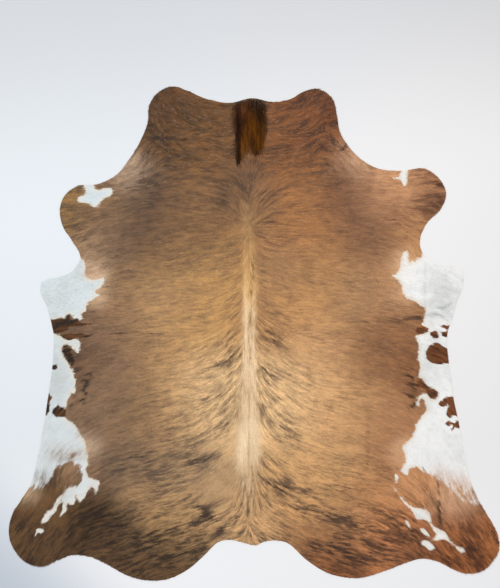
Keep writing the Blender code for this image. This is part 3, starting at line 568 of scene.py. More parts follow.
# Between which values they come in, from none to all
MARK_RANGE = (0.1, 2)          # the least and the most of a dark mark's own grain
DEEPEST_FROM = (1.1, 2.9)
GREY_TUFTS = (0.85, 1.0)
PATCH_EDGE = (-0.3, 0.3)       # across the ragged edge of a patch, in widths of its soft edge
CREAM_EDGE = (2.6, 0.4)

# Where they change over the hide, in metres
STRIPE_CALMS = (0.15, -0.25)   # y between which the stripe's streaks calm down
STRIPE_GILDS = (0.02, 0.28)    # y between which the stripe turns from pale to gold
GREYS = (0.5, 0.9)             # y between which grey hairs come in
SPOTS = (-0.60, -0.50)         # y above which brown patches have their own colour
OLIVE_TO_RED = (-0.4, 0.4)     # x between which that colour turns
# Painted light on the white hair, from cool shade on the left to warm light on the right
COOL_TO_WARM = (-1.2, 0.6)     # the same for the white, along x less WHITE_SLANT times y
WHITE_SLANT = 0.6

# The two colours of the skin's back, and that of the floor
SUEDE_LIGHT = (222, 208, 184)
SUEDE_DARK = (206, 190, 164)
FLOOR = (226, 231, 236)

# Its painted light and shade: warm light on the right, shade far off and in the near left corner, light in
# front. How much of each, and between which values it comes in, along so much of x, y and the blotches
Shade = namedtuple("Shade", "name colour share x y blotch start full")
FLOOR_LIGHT_AND_SHADE = [Shade(*row) for row in (
    ("right", (243, 241, 241), 1.0, 1.0, -0.15, 0.25, -1.1, 0.9),
    ("far", (191, 193, 197), 0.65, -0.1, 1.0, 0.0, 0.6, 1.9),
    ("near", (250, 250, 252), 0.8, 0.0, 1.0, 0.0, -0.4, -1.3),
    ("left corner", (196, 204, 214), 1.0, 1.0, 1.0, 0.0, -1.75, -2.55),
)]

# Scales of the noises, larger for a finer grain
NOISE_ROUGHNESS = 0.6
MOTTLE = 20.0                  # patches a few centimetres across in the coat
STRANDS = 110.0
SKIN_TUFTS = 420.0
PORES = 900.0
SUEDE_PATCHES = 7.0
SUEDE_NAP = 260.0
FLOOR_BLOTCHES = 1.2


def linear(colour):
    """A colour of 0 to 255 as the linear values that a material holds."""
    return tuple(c / 255 / 12.92 if c <= 10 else ((c / 255 + 0.055) / 1.055) ** 2.4 for c in colour)


def unit(vectors):
    """The vectors at a length of 1."""
    return vectors / np.maximum(np.linalg.norm(vectors, axis=-1, keepdims=True), 1e-9)


# --- Loops and maps over the plan of the hide ---------------------------------------------------------------

def smooth_loop(points, step):
    """Points on a closed smooth curve through the given ones, no more than a step apart."""
    knots = np.asarray(points, float)
    ahead = np.roll(knots, -1, 0) - knots
    length = np.linalg.norm(ahead, axis=1)[:, None]
    heading = ahead / length
    before = np.roll(heading, 1, 0)
    reach = np.roll(length, 1, 0)
    tangent = (before * length + heading * reach) / (length + reach)
    curve = []
    for i, start in enumerate(knots):
        j = (i + 1) % len(knots)
        count = max(1, math.ceil(length[i, 0] / step))
        t = (np.arange(count) / count)[:, None]
        curve.append((1 + 2 * t) * (1 - t) ** 2 * start + t * (1 - t) ** 2 * tangent[i] * length[i]
                     + t ** 2 * (3 - 2 * t) * knots[j] + t ** 2 * (t - 1) * tangent[j] * length[i])
    return np.concatenate(curve)


def smooth_route(points, step):
    """Points on an open smooth curve through the given ones."""
    points = np.asarray(points, float)
    there_and_back = np.concatenate([points, points[-2:0:-1]])
    curve = smooth_loop(there_and_back, step)
    end = np.linalg.norm(curve - points[-1], axis=1).argmin()
    return curve[:end + 1]


def way_out(loop):
    """The direction out of a loop at each of its points, which run anticlockwise."""
    along = unit(np.roll(loop, -1, 0) - np.roll(loop, 1, 0))
    return np.stack([along[:, 1], -along[:, 0]], 1)


def inset(loop, distance):
    """The loop moved inwards."""
    return loop - distance * way_out(loop)


def depth_inside(points, loop, chunk=4000):
    """How far each point lies inside a loop, below zero outside it."""
    start, end = loop, np.roll(loop, -1, 0)
    side = end - start
    square = (side ** 2).sum(1)
    depth = np.empty(len(points))
    for first in range(0, len(points), chunk):
        p = points[first:first + chunk, None, :]
        share = np.clip(((p - start) * side).sum(2) / square, 0, 1)
        gap = np.sqrt((((start + share[..., None] * side) - p) ** 2).sum(2).min(1))
        spans = (start[:, 1] > p[..., 1]) != (end[:, 1] > p[..., 1])
        rise = np.where(side[:, 1] == 0, 1, side[:, 1])
        crossing = start[:, 0] + (p[..., 1] - start[:, 1]) / rise * side[:, 0]
        inside = (spans & (p[..., 0] < crossing)).sum(1) % 2 == 1
        depth[first:first + chunk] = np.where(inside, gap, -gap)
    return depth


def lattice_inside(loop, step):
    """Points of a triangular lattice inside a loop, row by row."""
    start, end = loop, np.roll(loop, -1, 0)
    low, high = loop.min(0), loop.max(0)
    rows = []
    for k, y in enumerate(np.arange(low[1], high[1], step * math.sqrt(3) / 2)):
        spans = (start[:, 1] > y) != (end[:, 1] > y)
        a, b = start[spans], end[spans]
        crossings = np.sort(a[:, 0] + (y - a[:, 1]) / (b[:, 1] - a[:, 1]) * (b[:, 0] - a[:, 0]))
        x = np.arange(low[0] + (k % 2) * step / 2, high[0], step)
        x = x[np.searchsorted(crossings, x) % 2 == 1]
        rows.append(np.stack([x, np.full(len(x), y)], 1))
    return np.concatenate(rows)


def near_route(points, route, reach, chunk=20000):
    """How near each point is to a route: 1 on it, fading over the reach and at its ends."""
    line = smooth_route(route, 0.5 * reach)
    share = np.sin(np.linspace(0, math.pi, len(line) + 2)[1:-1]) ** ROUTE_ENDS
    margin = BELL_SPAN * reach
    close = np.flatnonzero(((points > line.min(0) - margin) & (points < line.max(0) + margin)).all(1))
    nearness = np.zeros(len(points))
    for first in range(0, len(close), chunk):
        part = close[first:first + chunk]
        gap = np.linalg.norm(points[part, None] - line, axis=2)
        nearness[part] = (share * np.exp(-0.5 * (gap / reach) ** 2)).max(1)
    return nearness


def blur(values, reach, mask=None):
    """Values softened over a number of cells; cells outside the mask don't count."""
    if reach == 0:
        return values
    span = int(BELL_SPAN * reach) + 1
    bell = np.exp(-0.5 * (np.arange(-span, span + 1) / reach) ** 2)

    def run(field):
        for axis in (0, 1):
            padded = np.pad(field, [(span, span) if a == axis else (0, 0) for a in (0, 1)], mode="edge")
            size = field.shape[axis]
            field = sum(w * padded.take(range(k, k + size), axis) for k, w in enumerate(bell))
        return field
    weight = np.ones(values.shape) if mask is None else mask.astype(float)
    return run(values * weight) / np.maximum(run(weight), 1e-9)


class PlanMap:
    """Values on a square lattice over the hide's plan, read at any place in between."""

    def __init__(self, step, values=None):
        margin = 2 * step
        self.step = step
        self.values = values
        self.low = np.array(cad_box[0][:2]) - margin
        self.count = np.ceil((np.array(cad_box[1][:2]) + margin - self.low) / step).astype(int) + 1
        x, y = (self.low[a] + step * np.arange(self.count[a]) for a in (0, 1))
        self.places = np.stack(np.meshgrid(x, y, indexing="ij"), -1).reshape(-1, 2)

    def at(self, points):
        place = np.clip((points - self.low) / self.step, 0, self.count - 1.001)
        cell = place.astype(int)
        (i, j), (s, t) = cell.T, (place - cell).T
        v = self.values
        return ((v[i, j] * (1 - s) + v[i + 1, j] * s) * (1 - t)
                + (v[i, j + 1] * (1 - s) + v[i + 1, j + 1] * s) * t)


# --- Meshes -------------------------------------------------------------------------------------------------

def new_object(name, mesh):
    made = bpy.data.objects.new(name, mesh)
    bpy.context.scene.collection.objects.link(made)
    return made


def read_field(items, field, kind=float, columns=1):
    """One field of all of a mesh's points, corners or faces."""
    values = np.empty(len(items) * columns, kind)
    items.foreach_get(field, values)
    return values if columns == 1 else values.reshape(-1, columns)


def keep_values(mesh, values):
    """Stores values on a mesh's points, as numbers or vectors."""
    for name, array in values.items():
        kind, field = ("FLOAT", "value") if array.ndim == 1 else ("FLOAT_VECTOR", "vector")
        stored = mesh.attributes.new(name, kind, "POINT")
        stored.data.foreach_set(field, array.astype(np.float32).ravel())


# --- The frame's outline and folds --------------------------------------------------------------------------

def frame_mesh():
    """Corners and triangles of the frame's hide, with its doubled corners merged."""
    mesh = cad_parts["hide"].data
    mesh.calc_loop_triangles()
    corners = read_field(mesh.vertices, "co", columns=3)
    triangles = read_field(mesh.loop_triangles, "vertices", int, 3)
    points, which = np.unique(np.round(corners, 5), axis=0, return_inverse=True)
    return points, which.reshape(-1)[triangles]


def frame_outline(points, triangles):
    """The loop round the underside, anticlockwise seen from above."""
    under = triangles[(points[triangles][:, :, 2] < ON_FLOOR).all(1)]
    edges = {(a, b) for t in under.tolist() for a, b in zip(t, t[1:] + t[:1])}
    following = {b: a for a, b in edges if (b, a) not in edges}
    loop = [min(following)]
    while len(loop) < len(following):
        loop.append(following[loop[-1]])
    return points[loop][:, :2]


def frame_heights(points, triangles):
    """A map of how high the frame's upper side lies, its facets softened."""
    tree = BVHTree.FromPolygons(points.tolist(), triangles.tolist())
    above, down = cad_box[1][2] + 1, Vector((0, 0, -1))
    heights = PlanMap(HEIGHT_STEP)
    hits = [tree.ray_cast((x, y, above), down)[0] for x, y in heights.places.tolist()]
    found = np.array([hit is not None for hit in hits]).reshape(heights.count)
    z = np.array([hit.z if hit else 0.0 for hit in hits]).reshape(heights.count)
    heights.values = blur(z, FACET_BLUR, found)
    return heights


def with_creases(heights):
    """Adds the fine creases to the height map, each uneven in waves of 7 to 9 centimetres."""
    places = heights.places / CM
    rise = sum(c.rise * near_route(places, c.route, c.reach) for c in CREASES)
    uneven = 1 + CREASE_WAVE * np.sin(places[:, 0] * 0.9 + 1.7) * np.sin(places[:, 1] * 0.7)
    heights.values = heights.values + (rise * uneven * MM).reshape(heights.count)
    return heights


# --- The coat: its lay, streaks, colours and patches --------------------------------------------------------

def around(points, row):
    """How near each point is to a row's place: 1 there, fading over its reach."""
    return np.exp(-0.5 * ((points[:, 0] - row.x) ** 2 + (points[:, 1] - row.y) ** 2) / row.reach ** 2)


def shares(weights):
    """The rows' weights at each point, scaled to add up to 1."""
    weights = np.stack(weights, 1) + 1e-12
    return weights / weights.sum(1, keepdims=True)


def closeness(points, rows):
    """How much each row of a table counts at each point."""
    return shares([around(points, row) for row in rows])


def both_sides(rows):
    """Rows of the lay on the right half, and their mirror images over the spine."""
    return rows + [r._replace(x=2 * SPINE - r.x, heading=180 - r.heading) for r in rows]


def stripe_down_back(points):
    """How clear the stripe is at each point, with steep sides."""
    y, centre, half, strength = np.array(BACK_STRIPE).T
    middle, reach, level = (np.interp(points[:, 1], y, column) for column in (centre, half, strength))
    return level * np.exp(-0.6 * ((points[:, 0] - middle) / reach) ** 4)


def hair_lay(points):
    """The direction in which the hair lies at each point, and its unrest in degrees."""
    rows = both_sides(HAIR_LAY)
    share = closeness(points, rows)
    angles = np.radians([r.heading for r in rows])
    stripe = stripe_down_back(points)[:, None]
    lay = (1 - stripe) * (share @ np.stack([np.cos(angles), np.sin(angles)], 1))
    lay = lay + stripe * np.array(DOWN_THE_BACK)
    return unit(lay), share @ np.array([r.unrest for r in rows])


def wavy_heading(places, maps):
    """The heading of the hair at each place, with the lay's own waves."""
    lay, unrest = hair_lay(places / CM)
    return np.arctan2(lay[:, 1], lay[:, 0]) + np.radians(LAY_WAVE * unrest) * maps["wave"].at(places)


def even(field):
    """Noise shifted and scaled to a mean of 0 and a spread of 1."""
    return (field - field.mean()) / field.std()


def drawn_out(noise, lay, length):
    """Noise drawn out along the lay, to half a length on both sides, and less felt towards the ends."""
    steps = int(length / 2 / STREAK_STEP)
    total = np.zeros(noise.shape)
    for side in (1, -1):
        place = np.stack(np.meshgrid(*map(np.arange, noise.shape), indexing="ij"), -1).astype(float)
        for k in range(steps):
            cell = np.clip(np.rint(place).astype(int), 0, np.array(noise.shape) - 1)
            total += math.cos(k / steps * math.pi / 2) * noise[cell[..., 0], cell[..., 1]]
            place += side * lay[cell[..., 0], cell[..., 1]]
    return total


def streak_maps():
    """Noise combed along the lay of the hair, at each scale of the coat's streaks, with a spread of 1."""
    rng = np.random.default_rng(SEED)
    plan = PlanMap(STREAK_STEP)

    def clouds(reach):
        return blur(rng.normal(size=plan.count), reach / STREAK_STEP)
    maps = {name: PlanMap(STREAK_STEP, even(clouds(reach)))
            for name, reach in (("wave", WAVE_REACH), ("cloud", CLOUD_REACH))}
    heading = wavy_heading(plan.places, maps)
    lay = onward(heading, 1).reshape(*plan.count, 2)
    for name, (across, along) in STREAKS.items():
        maps[name] = PlanMap(STREAK_STEP, even(drawn_out(clouds(across), lay, along)))
    return maps


def patch_field(points, patches):
    """How far each point lies inside the nearest patch, in widths of that patch's soft edge."""
    field = np.full(len(points), -PATCH_FADE)
    for patch in patches:
        loop = smooth_loop(patch.points, PATCH_STEP)
        margin = PATCH_FADE * patch.edge
        close = ((points > loop.min(0) - margin) & (points < loop.max(0) + margin)).all(1)
        depth = depth_inside(points[close], loop) / patch.edge
        field[close] = np.maximum(field[close], np.clip(depth, -PATCH_FADE, PATCH_FADE))
    return field


def clusters(points, rows):
    """The combed clusters' strength at each point, each over an oval along the lay."""
    total = np.zeros(len(points))
    for row in rows:
        centre = np.array([[row.x, row.y]], float)
        along = hair_lay(centre)[0][0]
        across = np.array([-along[1], along[0]])
        offset = points - centre
        oval = (offset @ along / (row.length / 2)) ** 2 + (offset @ across / (row.width / 2)) ** 2
        total += row.strength * np.exp(-0.5 * oval)
    return total


def coat_values(places, maps):
    """The coat's own values at places on the plan: colours, patches, streaks and shade."""
    points = places / CM
    share = closeness(points, GROUNDS)
    # dark: the brindle's clusters and the dark strokes of hair, with painted shade in the creases and folds
    dark = clusters(points, BRINDLE) - clusters(points, LIGHT_BRINDLE)
    dark += sum(s.strength * near_route(points, s.points, s.width / 2) for s in DARK_HAIR_AND_SHADE_STROKES)
    # painted shade on the coat under the mane
    dark += (patch_field(points, [MANE_SHADE_BED]) + MANE_SHADE_BED.edge).clip(0)
    marks = [patch_field(points, WHITE_PATCHES), patch_field(points, BROWN_PATCHES),
             share @ np.array([g.brindle for g in GROUNDS])]
    shade = [dark, maps["cloud"].at(places), stripe_down_back(points)]
    return {
        "light": share @ np.array([linear(g.light) for g in GROUNDS]),
        "dark": share @ np.array([linear(g.dark) for g in GROUNDS]),
        "streaks": np.stack([maps[name].at(places) for name in STREAKS], 1),
        "marks": np.stack(marks, 1),
        "shade": np.stack(shade, 1),
        "veil": clusters(points, VEILS),
    }


# --- The skin -----------------------------------------------------------------------------------------------

def skin_height(places, heights):
    """How high the hair side of the skin lies, under the hair that makes up the frame's surface."""
    return np.maximum(heights.at(places) - HAIR_DEPTH, SKIN_THICKNESS)


def make_pelt(hide, materials):
    """The skin: one closed thin sheet on the frame's folds, cut along the outline."""
    edge = hide.rim
    field = lattice_inside(inset(edge, SKIN_GAP * SKIN_STEP), SKIN_STEP)
    rim = [(i, (i + 1) % len(edge)) for i in range(len(edge))]
    flat = [Vector(p) for p in np.concatenate([edge, field])]
    points, _, faces, *_ = delaunay_2d_cdt(flat, rim, [], 1, 1e-7)
    plan = np.array([tuple(p) for p in points])
    top = skin_height(plan, hide.heights)
    count = len(plan)
    upper = np.column_stack([plan, top])
    lower = np.column_stack([plan, np.maximum(top - SKIN_THICKNESS, 0.0)])
    hair_side = [tuple(f) for f in faces]
    back = [tuple(i + count for i in reversed(f)) for f in faces]
    sides = {(a, b) for f in faces for a, b in zip(f, f[1:] + f[:1])}
    wall = [(b, a, a + count, b + count) for a, b in sorted(sides) if (b, a) not in sides]
    mesh = bpy.data.meshes.new("pelt")
    mesh.from_pydata(np.concatenate([upper, lower]).tolist(), [], hair_side + back + wall)
    slots = [0] * len(hair_side) + [1] * (len(back) + len(wall))
    values = coat_values(plan, hide.maps)
    keep_values(mesh, {name: np.concatenate([array, array]) for name, array in values.items()})
    for material in materials:
        mesh.materials.append(material)
    mesh.polygons.foreach_set("material_index", slots)
    mesh.shade_smooth()
    mesh.set_sharp_from_angle(angle=math.radians(CUT_TURN))
    plan_map(mesh, np.array(slots))
    return new_object("pelt", mesh)


def plan_map(mesh, back_faces):
    """Lays the skin's plan out on its texture map: the hair side on the left half, the back on the right."""
    corners = read_field(mesh.loops, "vertex_index", int)
    plan = read_field(mesh.vertices, "co", columns=3)[:, :2]
    low, high = plan.min(0), plan.max(0)
    share = ((plan - low) / (high - low))[corners]
    sides = read_field(mesh.polygons, "loop_total", int)
    share[:, 0] = 0.5 * share[:, 0] + 0.5 * np.repeat(back_faces, sides)
    mesh.uv_layers.new(name="OFBake").data.foreach_set("uv", share.astype(np.float32).ravel())


# --- The locks of hair --------------------------------------------------------------------------------------

def make_lock():
    """One lock: a flat leaf with a ridge along its back, a unit long, wide and high."""
    half = 0.5
    corners = [(0, 0, 0), (LOCK_BELLY, half, -half), (LOCK_BELLY, -half, -half), (1, 0, 0)]
    mesh = bpy.data.meshes.new("lock")
    mesh.from_pydata(corners, [], [(0, 3, 1), (0, 2, 3), (0, 1, 2), (1, 3, 2)])
    keep_values(mesh, {"along": np.array([x for x, _, _ in corners])})
    return new_object("lock", mesh)


def rim_gap(places, rim):
    """How far each place is from the cut edge, and the way out of the hide there."""
    tree = KDTree(len(rim))
    for i, (x, y) in enumerate(rim.tolist()):
        tree.insert((x, y, 0), i)
    tree.balance()
    found = [tree.find((x, y, 0)) for x, y in places.tolist()]
    nearest = [i for _, i, _ in found]
    return np.array([gap for _, _, gap in found]), way_out(rim)[nearest]


def overhang(points):
    """How far the hair hangs over the cut edge at each point."""
    return (OVERHANG + sum(fringe.extra * around(points, fringe) for fringe in FRINGES)) * MM


def lock_headings(places, maps, rng):
    """Which way each lock lies: along the lay, and more spread out where the coat is unruly."""
    unrest = hair_lay(places / CM)[1]
    return wavy_heading(places, maps) + np.radians(COAT.spread * unrest / CALM) * rng.normal(size=len(places))


def onward(heading, distance):
    """The way from each place to one at a distance, in its heading."""
    return np.stack([np.cos(heading), np.sin(heading)], 1) * np.reshape(distance, (-1, 1))


def lock_sizes(places, heading, length, rim, rng):
    """How long each lock is, uneven, and no further over the cut edge than the coat hangs there."""
    size = length * (1 + LENGTH_SPREAD * rng.normal(size=len(places))).clip(*LENGTH_RANGE)
    gap, outward = rim_gap(places, rim)
    ahead = np.maximum((outward * onward(heading, 1)).sum(1), LEAST_OUTWARD)
    beyond = overhang(places / CM) * rng.uniform(*HANG_RANGE, len(places))
    return np.minimum(size, np.maximum((gap + beyond) / ahead, SHORTEST_LOCK))


def root_points(places, heading, size, lift, heights, values, rng):
    """Points where locks grow, each with its lock's turn, size and colours."""
    here = skin_height(places, heights)
    rise = skin_height(places + onward(heading, SLOPE_STEP), heights) - here
    slope = np.arctan2(rise, SLOPE_STEP)
    uneven = (1 + LIFT_SPREAD * rng.normal(size=len(places))).clip(*LIFT_RANGE)
    pitch = np.maximum(slope, -STEEPEST_DIP) + np.radians(lift) * uneven
    roll = np.radians(ROLL_SPREAD) * rng.normal(size=len(places))
    mesh = bpy.data.meshes.new("roots")
    mesh.from_pydata(np.column_stack([places, here - LOCK_SINK]).tolist(), [], [])
    keep_values(mesh, {**values, "turn": np.stack([roll, -pitch, heading], 1), "size": size,
                       "tuft": rng.random(len(places))})
    return mesh


def comb_tree():
    """The node tree that sets a lock on each root, turned and sized by the root's own values."""
    tree = bpy.data.node_groups.new("comb the coat", "GeometryNodeTree")
    sockets = [("Roots", "INPUT", "Geometry"), ("Lock", "INPUT", "Object"), ("Width", "INPUT", "Float"),
               ("Height", "INPUT", "Float"), ("Map Low", "INPUT", "Vector"), ("Map Size", "INPUT", "Vector"),
               ("Finish", "INPUT", "Material"), ("Coat", "OUTPUT", "Geometry")]
    for name, way, kind in sockets:
        tree.interface.new_socket(name, in_out=way, socket_type="NodeSocket" + kind)

    def node(kind, inputs=(), output=0, **settings):
        made = tree.nodes.new(kind)
        for name, value in settings.items():
            setattr(made, name, value)
        for name, value in dict(inputs).items():
            if isinstance(value, bpy.types.NodeSocket):
                tree.links.new(value, made.inputs[name])
            else:
                made.inputs[name].default_value = value
        return made.outputs[output]

    def stored(name, kind):
        return node("GeometryNodeInputNamedAttribute", {"Name": name}, "Attribute", data_type=kind)

    def vectors(operation, first, second):
        return node("ShaderNodeVectorMath", {0: first, 1: second}, operation=operation)

    given = tree.nodes.new("NodeGroupInput").outputs
    turn, size = stored("turn", "FLOAT_VECTOR"), stored("size", "FLOAT")
    rotation = node("FunctionNodeEulerToRotation", {"Euler": turn})
    scale = node("ShaderNodeCombineXYZ", {"X": size, "Y": given["Width"], "Z": given["Height"]})
    shape = node("GeometryNodeObjectInfo", {"Object": given["Lock"]}, "Geometry")
    seats = node("GeometryNodeMeshToPoints", {"Mesh": given["Roots"]})
    locks = node("GeometryNodeInstanceOnPoints",
                 {"Points": seats, "Instance": shape, "Rotation": rotation, "Scale": scale})
    solid = node("GeometryNodeRealizeInstances", {"Geometry": locks})
    offset = vectors("SUBTRACT", node("GeometryNodeInputPosition"), given["Map Low"])
    share = vectors("DIVIDE", offset, given["Map Size"])
    mapped = node("GeometryNodeStoreNamedAttribute", {"Geometry": solid, "Name": "OFBake", "Value": share},
                  data_type="FLOAT2", domain="CORNER")
    done = node("GeometryNodeSetMaterial", {"Geometry": mapped, "Material": given["Finish"]})
    tree.links.new(done, tree.nodes.new("NodeGroupOutput").inputs["Coat"])
    return tree


def map_settings(places):
    """Where the texture map of a piece lies over the plan."""
    low, high = places.min(0) - MAP_MARGIN, places.max(0) + MAP_MARGIN
    return {"Map Low": (*low.tolist(), 0.0), "Map Size": (*(high - low).tolist(), 1.0)}


def comb(name, hair, places, roots, comber):
    """Runs the node tree on the roots and returns its locks as one plain mesh."""
    tree, lock, material = comber
    settings = {"Lock": lock, "Width": hair.width, "Height": hair.height, "Finish": material,
                **map_settings(places)}
    guide = new_object(name + " roots", roots)
    modifier = guide.modifiers.new("comb", "NODES")
    modifier.node_group = tree
    sockets = {s.name: s.identifier for s in tree.interface.items_tree if s.in_out == "INPUT"}
    for title, value in settings.items():
        modifier[sockets[title]] = value
    bpy.context.view_layer.update()
    mesh = bpy.data.meshes.new_from_object(guide.evaluated_get(bpy.context.evaluated_depsgraph_get()))
    guide.modifiers.clear()
    bpy.data.objects.remove(guide)
    for spare in ("turn", "size"):
        if spare in mesh.attributes:
            mesh.attributes.remove(mesh.attributes[spare])
    mesh.name = name
    return new_object(name, mesh)


# --- Finishes -----------------------------------------------------------------------------------------------

class Wire:
    """A value on its way through a material. Arithmetic on it adds the Math nodes that work it out."""

    def __init__(self, finish, socket):
        self.finish, self.socket = finish, socket

    def __add__(self, other):
        return self.finish.maths("ADD", self, other)

    def __sub__(self, other):
        return self.finish.maths("SUBTRACT", self, other)

    def __rsub__(self, other):
        return self.finish.maths("SUBTRACT", other, self)

    def __mul__(self, other):
        return self.finish.maths("MULTIPLY", self, other)

    __radd__, __rmul__ = __add__, __mul__


class Finish:
    """A material on one Principled shader, whose unchanging values sit on the shader's own sockets.

    Every method but finish adds one kind of node. Colours are given as 0 to 255.
    """

    def __init__(self, name, **constants):
        self.material = bpy.data.materials.new(name)
        self.material.use_nodes = True
        self.tree = self.material.node_tree
        self.shader = self.tree.nodes["Principled BSDF"]
        for title, value in constants.items():
            self.join(value, self.shader.inputs[title.replace("_", " ")])

    def join(self, value, socket):
        if isinstance(value, Wire):
            self.tree.links.new(value.socket, socket)
        elif socket.type == "RGBA":
            socket.default_value = (*linear(value), 1.0)
        else:
            socket.default_value = value

    def node(self, kind, settings, inputs, output=0):
        made = self.tree.nodes.new("ShaderNode" + kind)
        for title, value in settings.items():
            setattr(made, title, value)
        for title, value in inputs.items():
            self.join(value, made.inputs[title])
        return Wire(self, made.outputs[output])

    def maths(self, operation, *values):
        return self.node("Math", {"operation": operation}, dict(enumerate(values)))

    def clamp(self, value, low=0.0, high=1.0):
        return self.node("Clamp", {}, {"Value": value, "Min": low, "Max": high})

    def fade(self, value, low, high):
        return self.node("MapRange", {"interpolation_type": "SMOOTHSTEP"},
                         {"Value": value, "From Min": low, "From Max": high})

    def mix(self, share, first, second):
        return self.node("Mix", {"data_type": "RGBA"}, {0: share, 6: first, 7: second}, 2)

    def scaled(self, colour, factor):
        return self.node("VectorMath", {"operation": "SCALE"}, {0: colour, "Scale": factor})

    def parts(self, vector):
        split = self.node("SeparateXYZ", {}, {0: vector}).socket.node
        return [Wire(self, socket) for socket in split.outputs]

    def stored(self, name, output="Vector"):
        return self.node("Attribute", {"attribute_name": name}, {}, output)

    def place(self):
        return self.node("TexCoord", {}, {}, "Object")

    def noise(self, scale, detail, vector):
        return self.node("TexNoise", {}, {"Vector": vector, "Scale": scale, "Detail": detail,
                                          "Roughness": NOISE_ROUGHNESS})

    def finish(self, **links):
        for title, wire in links.items():
            self.join(wire, self.shader.inputs[title.replace("_", " ")])
        return self.material


def grained(m, grain):
    """The unevenness of the coat by the weights of one grain."""
    base, *weights = grain
    kinds = (m.broad, m.narrow, m.fine, m.cloud, m.mottle, m.odd, m.shade)
    parts = [weight * kind for weight, kind in zip(weights, kinds) if weight]
    total = parts[0] + base
    for part in parts[1:]:
        total = total + part
    return total


def coat_marks(f, tuft):
    """What the coat's colour is worked out from: streaks, patches, shade and each tuft's own tone."""
    m = SimpleNamespace(tuft=tuft, odd=tuft - 0.5)
    m.broad, m.narrow, m.fine = f.parts(f.stored("streaks"))
    m.white, m.brown, m.brindle = f.parts(f.stored("marks"))
    m.shade, m.cloud, m.stripe = f.parts(f.stored("shade"))
    m.x, m.y, _ = f.parts(f.place())
    m.mottle = f.noise(MOTTLE, 3, f.place()) - 0.5
    m.ragged = grained(m, RAGGED_GRAIN)
    return m


def brindled(f, m):
    """The brown coat: its ground colours mixed by the streaks, with the pale stripe down the back."""
    # Dark marks darken the coat, and with them painted shade in the creases, folds and under the mane
    marked = MARK_DEPTH * m.shade * f.clamp(grained(m, MARK_GRAIN), *MARK_RANGE)
    calm = 1 - STRIPE_CALM_SHARE * m.stripe * f.fade(m.y, *STRIPE_CALMS)
    streaked = m.brindle * grained(m, BRINDLE_GRAIN) + grained(m, PLAIN_GRAIN)
    darkness = f.clamp(HALF_DARK + marked + calm * streaked)
    pale = f.clamp(m.stripe * grained(m, STRIPE_GRAIN))
    stripe_light = f.mix(f.fade(m.y, *STRIPE_GILDS), STRIPE_PALE, STRIPE_GOLD)
    light = f.mix(pale, f.stored("light"), stripe_light)
    dark = f.mix(STRIPE_SHADE_SHARE * pale, f.stored("dark"), STRIPE_SHADE)
    coat = f.mix(darkness, light, dark)
    depth = f.fade(grained(m, DEPTH_GRAIN), *DEEPEST_FROM)
    coat = f.mix(DEEPEST_SHARE * depth * (1 - 0.8 * pale), coat, DEEPEST)
    grey = f.fade(m.tuft, *GREY_TUFTS) * f.fade(m.y, *GREYS)
    return f.mix(GREY_SHARE * grey, coat, GREY_HAIR)


def spot_colour(f, m):
    """The brown of the patches on the white: olive on the left of the hide, redder on the right."""
    grain = f.clamp(grained(m, SPOT_GRAIN))
    olive = f.mix(grain, OLIVE_LIGHT, OLIVE_DARK)
    red = f.mix(grain, SPOT_LIGHT, SPOT_DARK)
    return f.mix(f.fade(m.x, *OLIVE_TO_RED), olive, red)


def white_colour(f, m):
    """The white hair, with creamy edges. Painted cool shade on the left and warm light on the right, and
    grey: uneven on its own, and painted shade along its folds and creases.
    """
    white_in_painted_light = f.mix(f.fade(m.x - WHITE_SLANT * m.y, *COOL_TO_WARM), WHITE_LEFT_COOL_SHADE, WHITE_RIGHT_WARM_LIGHT)
    shaded = f.mix(f.clamp(grained(m, WHITE_GRAIN)), white_in_painted_light, WHITE_GREY_AND_SHADE)
    near_edge = f.fade(m.white + 0.5 * m.ragged, *CREAM_EDGE)
    return f.mix(CREAM_SHARE * near_edge, shaded, WHITE_CREAM)


def coat_colour(f, tuft):
    """The coat's colour, uneven from tuft to tuft, with how white it is and its narrow streaks."""
    m = coat_marks(f, tuft)
    spotted = f.fade(m.brown + m.ragged, *PATCH_EDGE)
    coat = f.mix(spotted * f.fade(m.y, *SPOTS), brindled(f, m), spot_colour(f, m))
    veil = f.clamp(f.stored("veil", "Fac") * grained(m, VEIL_GRAIN))
    whiteness = f.fade(m.white + m.ragged, *PATCH_EDGE) * (1 - spotted) * (1 - veil)
    return f.mix(whiteness, coat, white_colour(f, m)), whiteness, m.narrow


def hair_finish():
    """Brown hair is toned up by the coat's gain, lighter towards the tips; white hair keeps its own tone."""
    f = Finish("combed hair", Specular_IOR_Level=0.18)
    tuft, along = f.stored("tuft", "Fac"), f.stored("along", "Fac")
    colour, whiteness, narrow = coat_colour(f, tuft)
    brown_tone = COAT_GAIN * (0.80 + 0.24 * tuft + 0.16 * along)
    white_tone = 1.06 + 0.08 * tuft
    tone = brown_tone + whiteness * (white_tone - brown_tone)
    roughness = f.clamp(0.5 - 0.04 * narrow - 0.1 * along, 0.3, 0.7)
    return f.finish(Base_Color=f.scaled(colour, tone), Roughness=roughness)


def mane_finish():
    """Dark strands, finely striped along the neck, partly as painted shade in the gaps between them."""
    f = Finish("dark mane hair", Specular_IOR_Level=0.05)
    tuft, along = f.stored("tuft", "Fac"), f.stored("along", "Fac")
    drawn_down = f.node("Mapping", {}, {"Vector": f.place(), "Scale": (1.0, 0.14, 0.2)})
    strands = f.noise(STRANDS, 3, drawn_down)
    tone = COAT_GAIN * (0.5 + 0.25 * tuft + 0.1 * along) * f.clamp(2.4 * strands - 0.2, 0.4, 1.8)
    return f.finish(Base_Color=f.scaled(f.stored("tone"), tone), Roughness=f.clamp(0.6 - 0.1 * tuft))


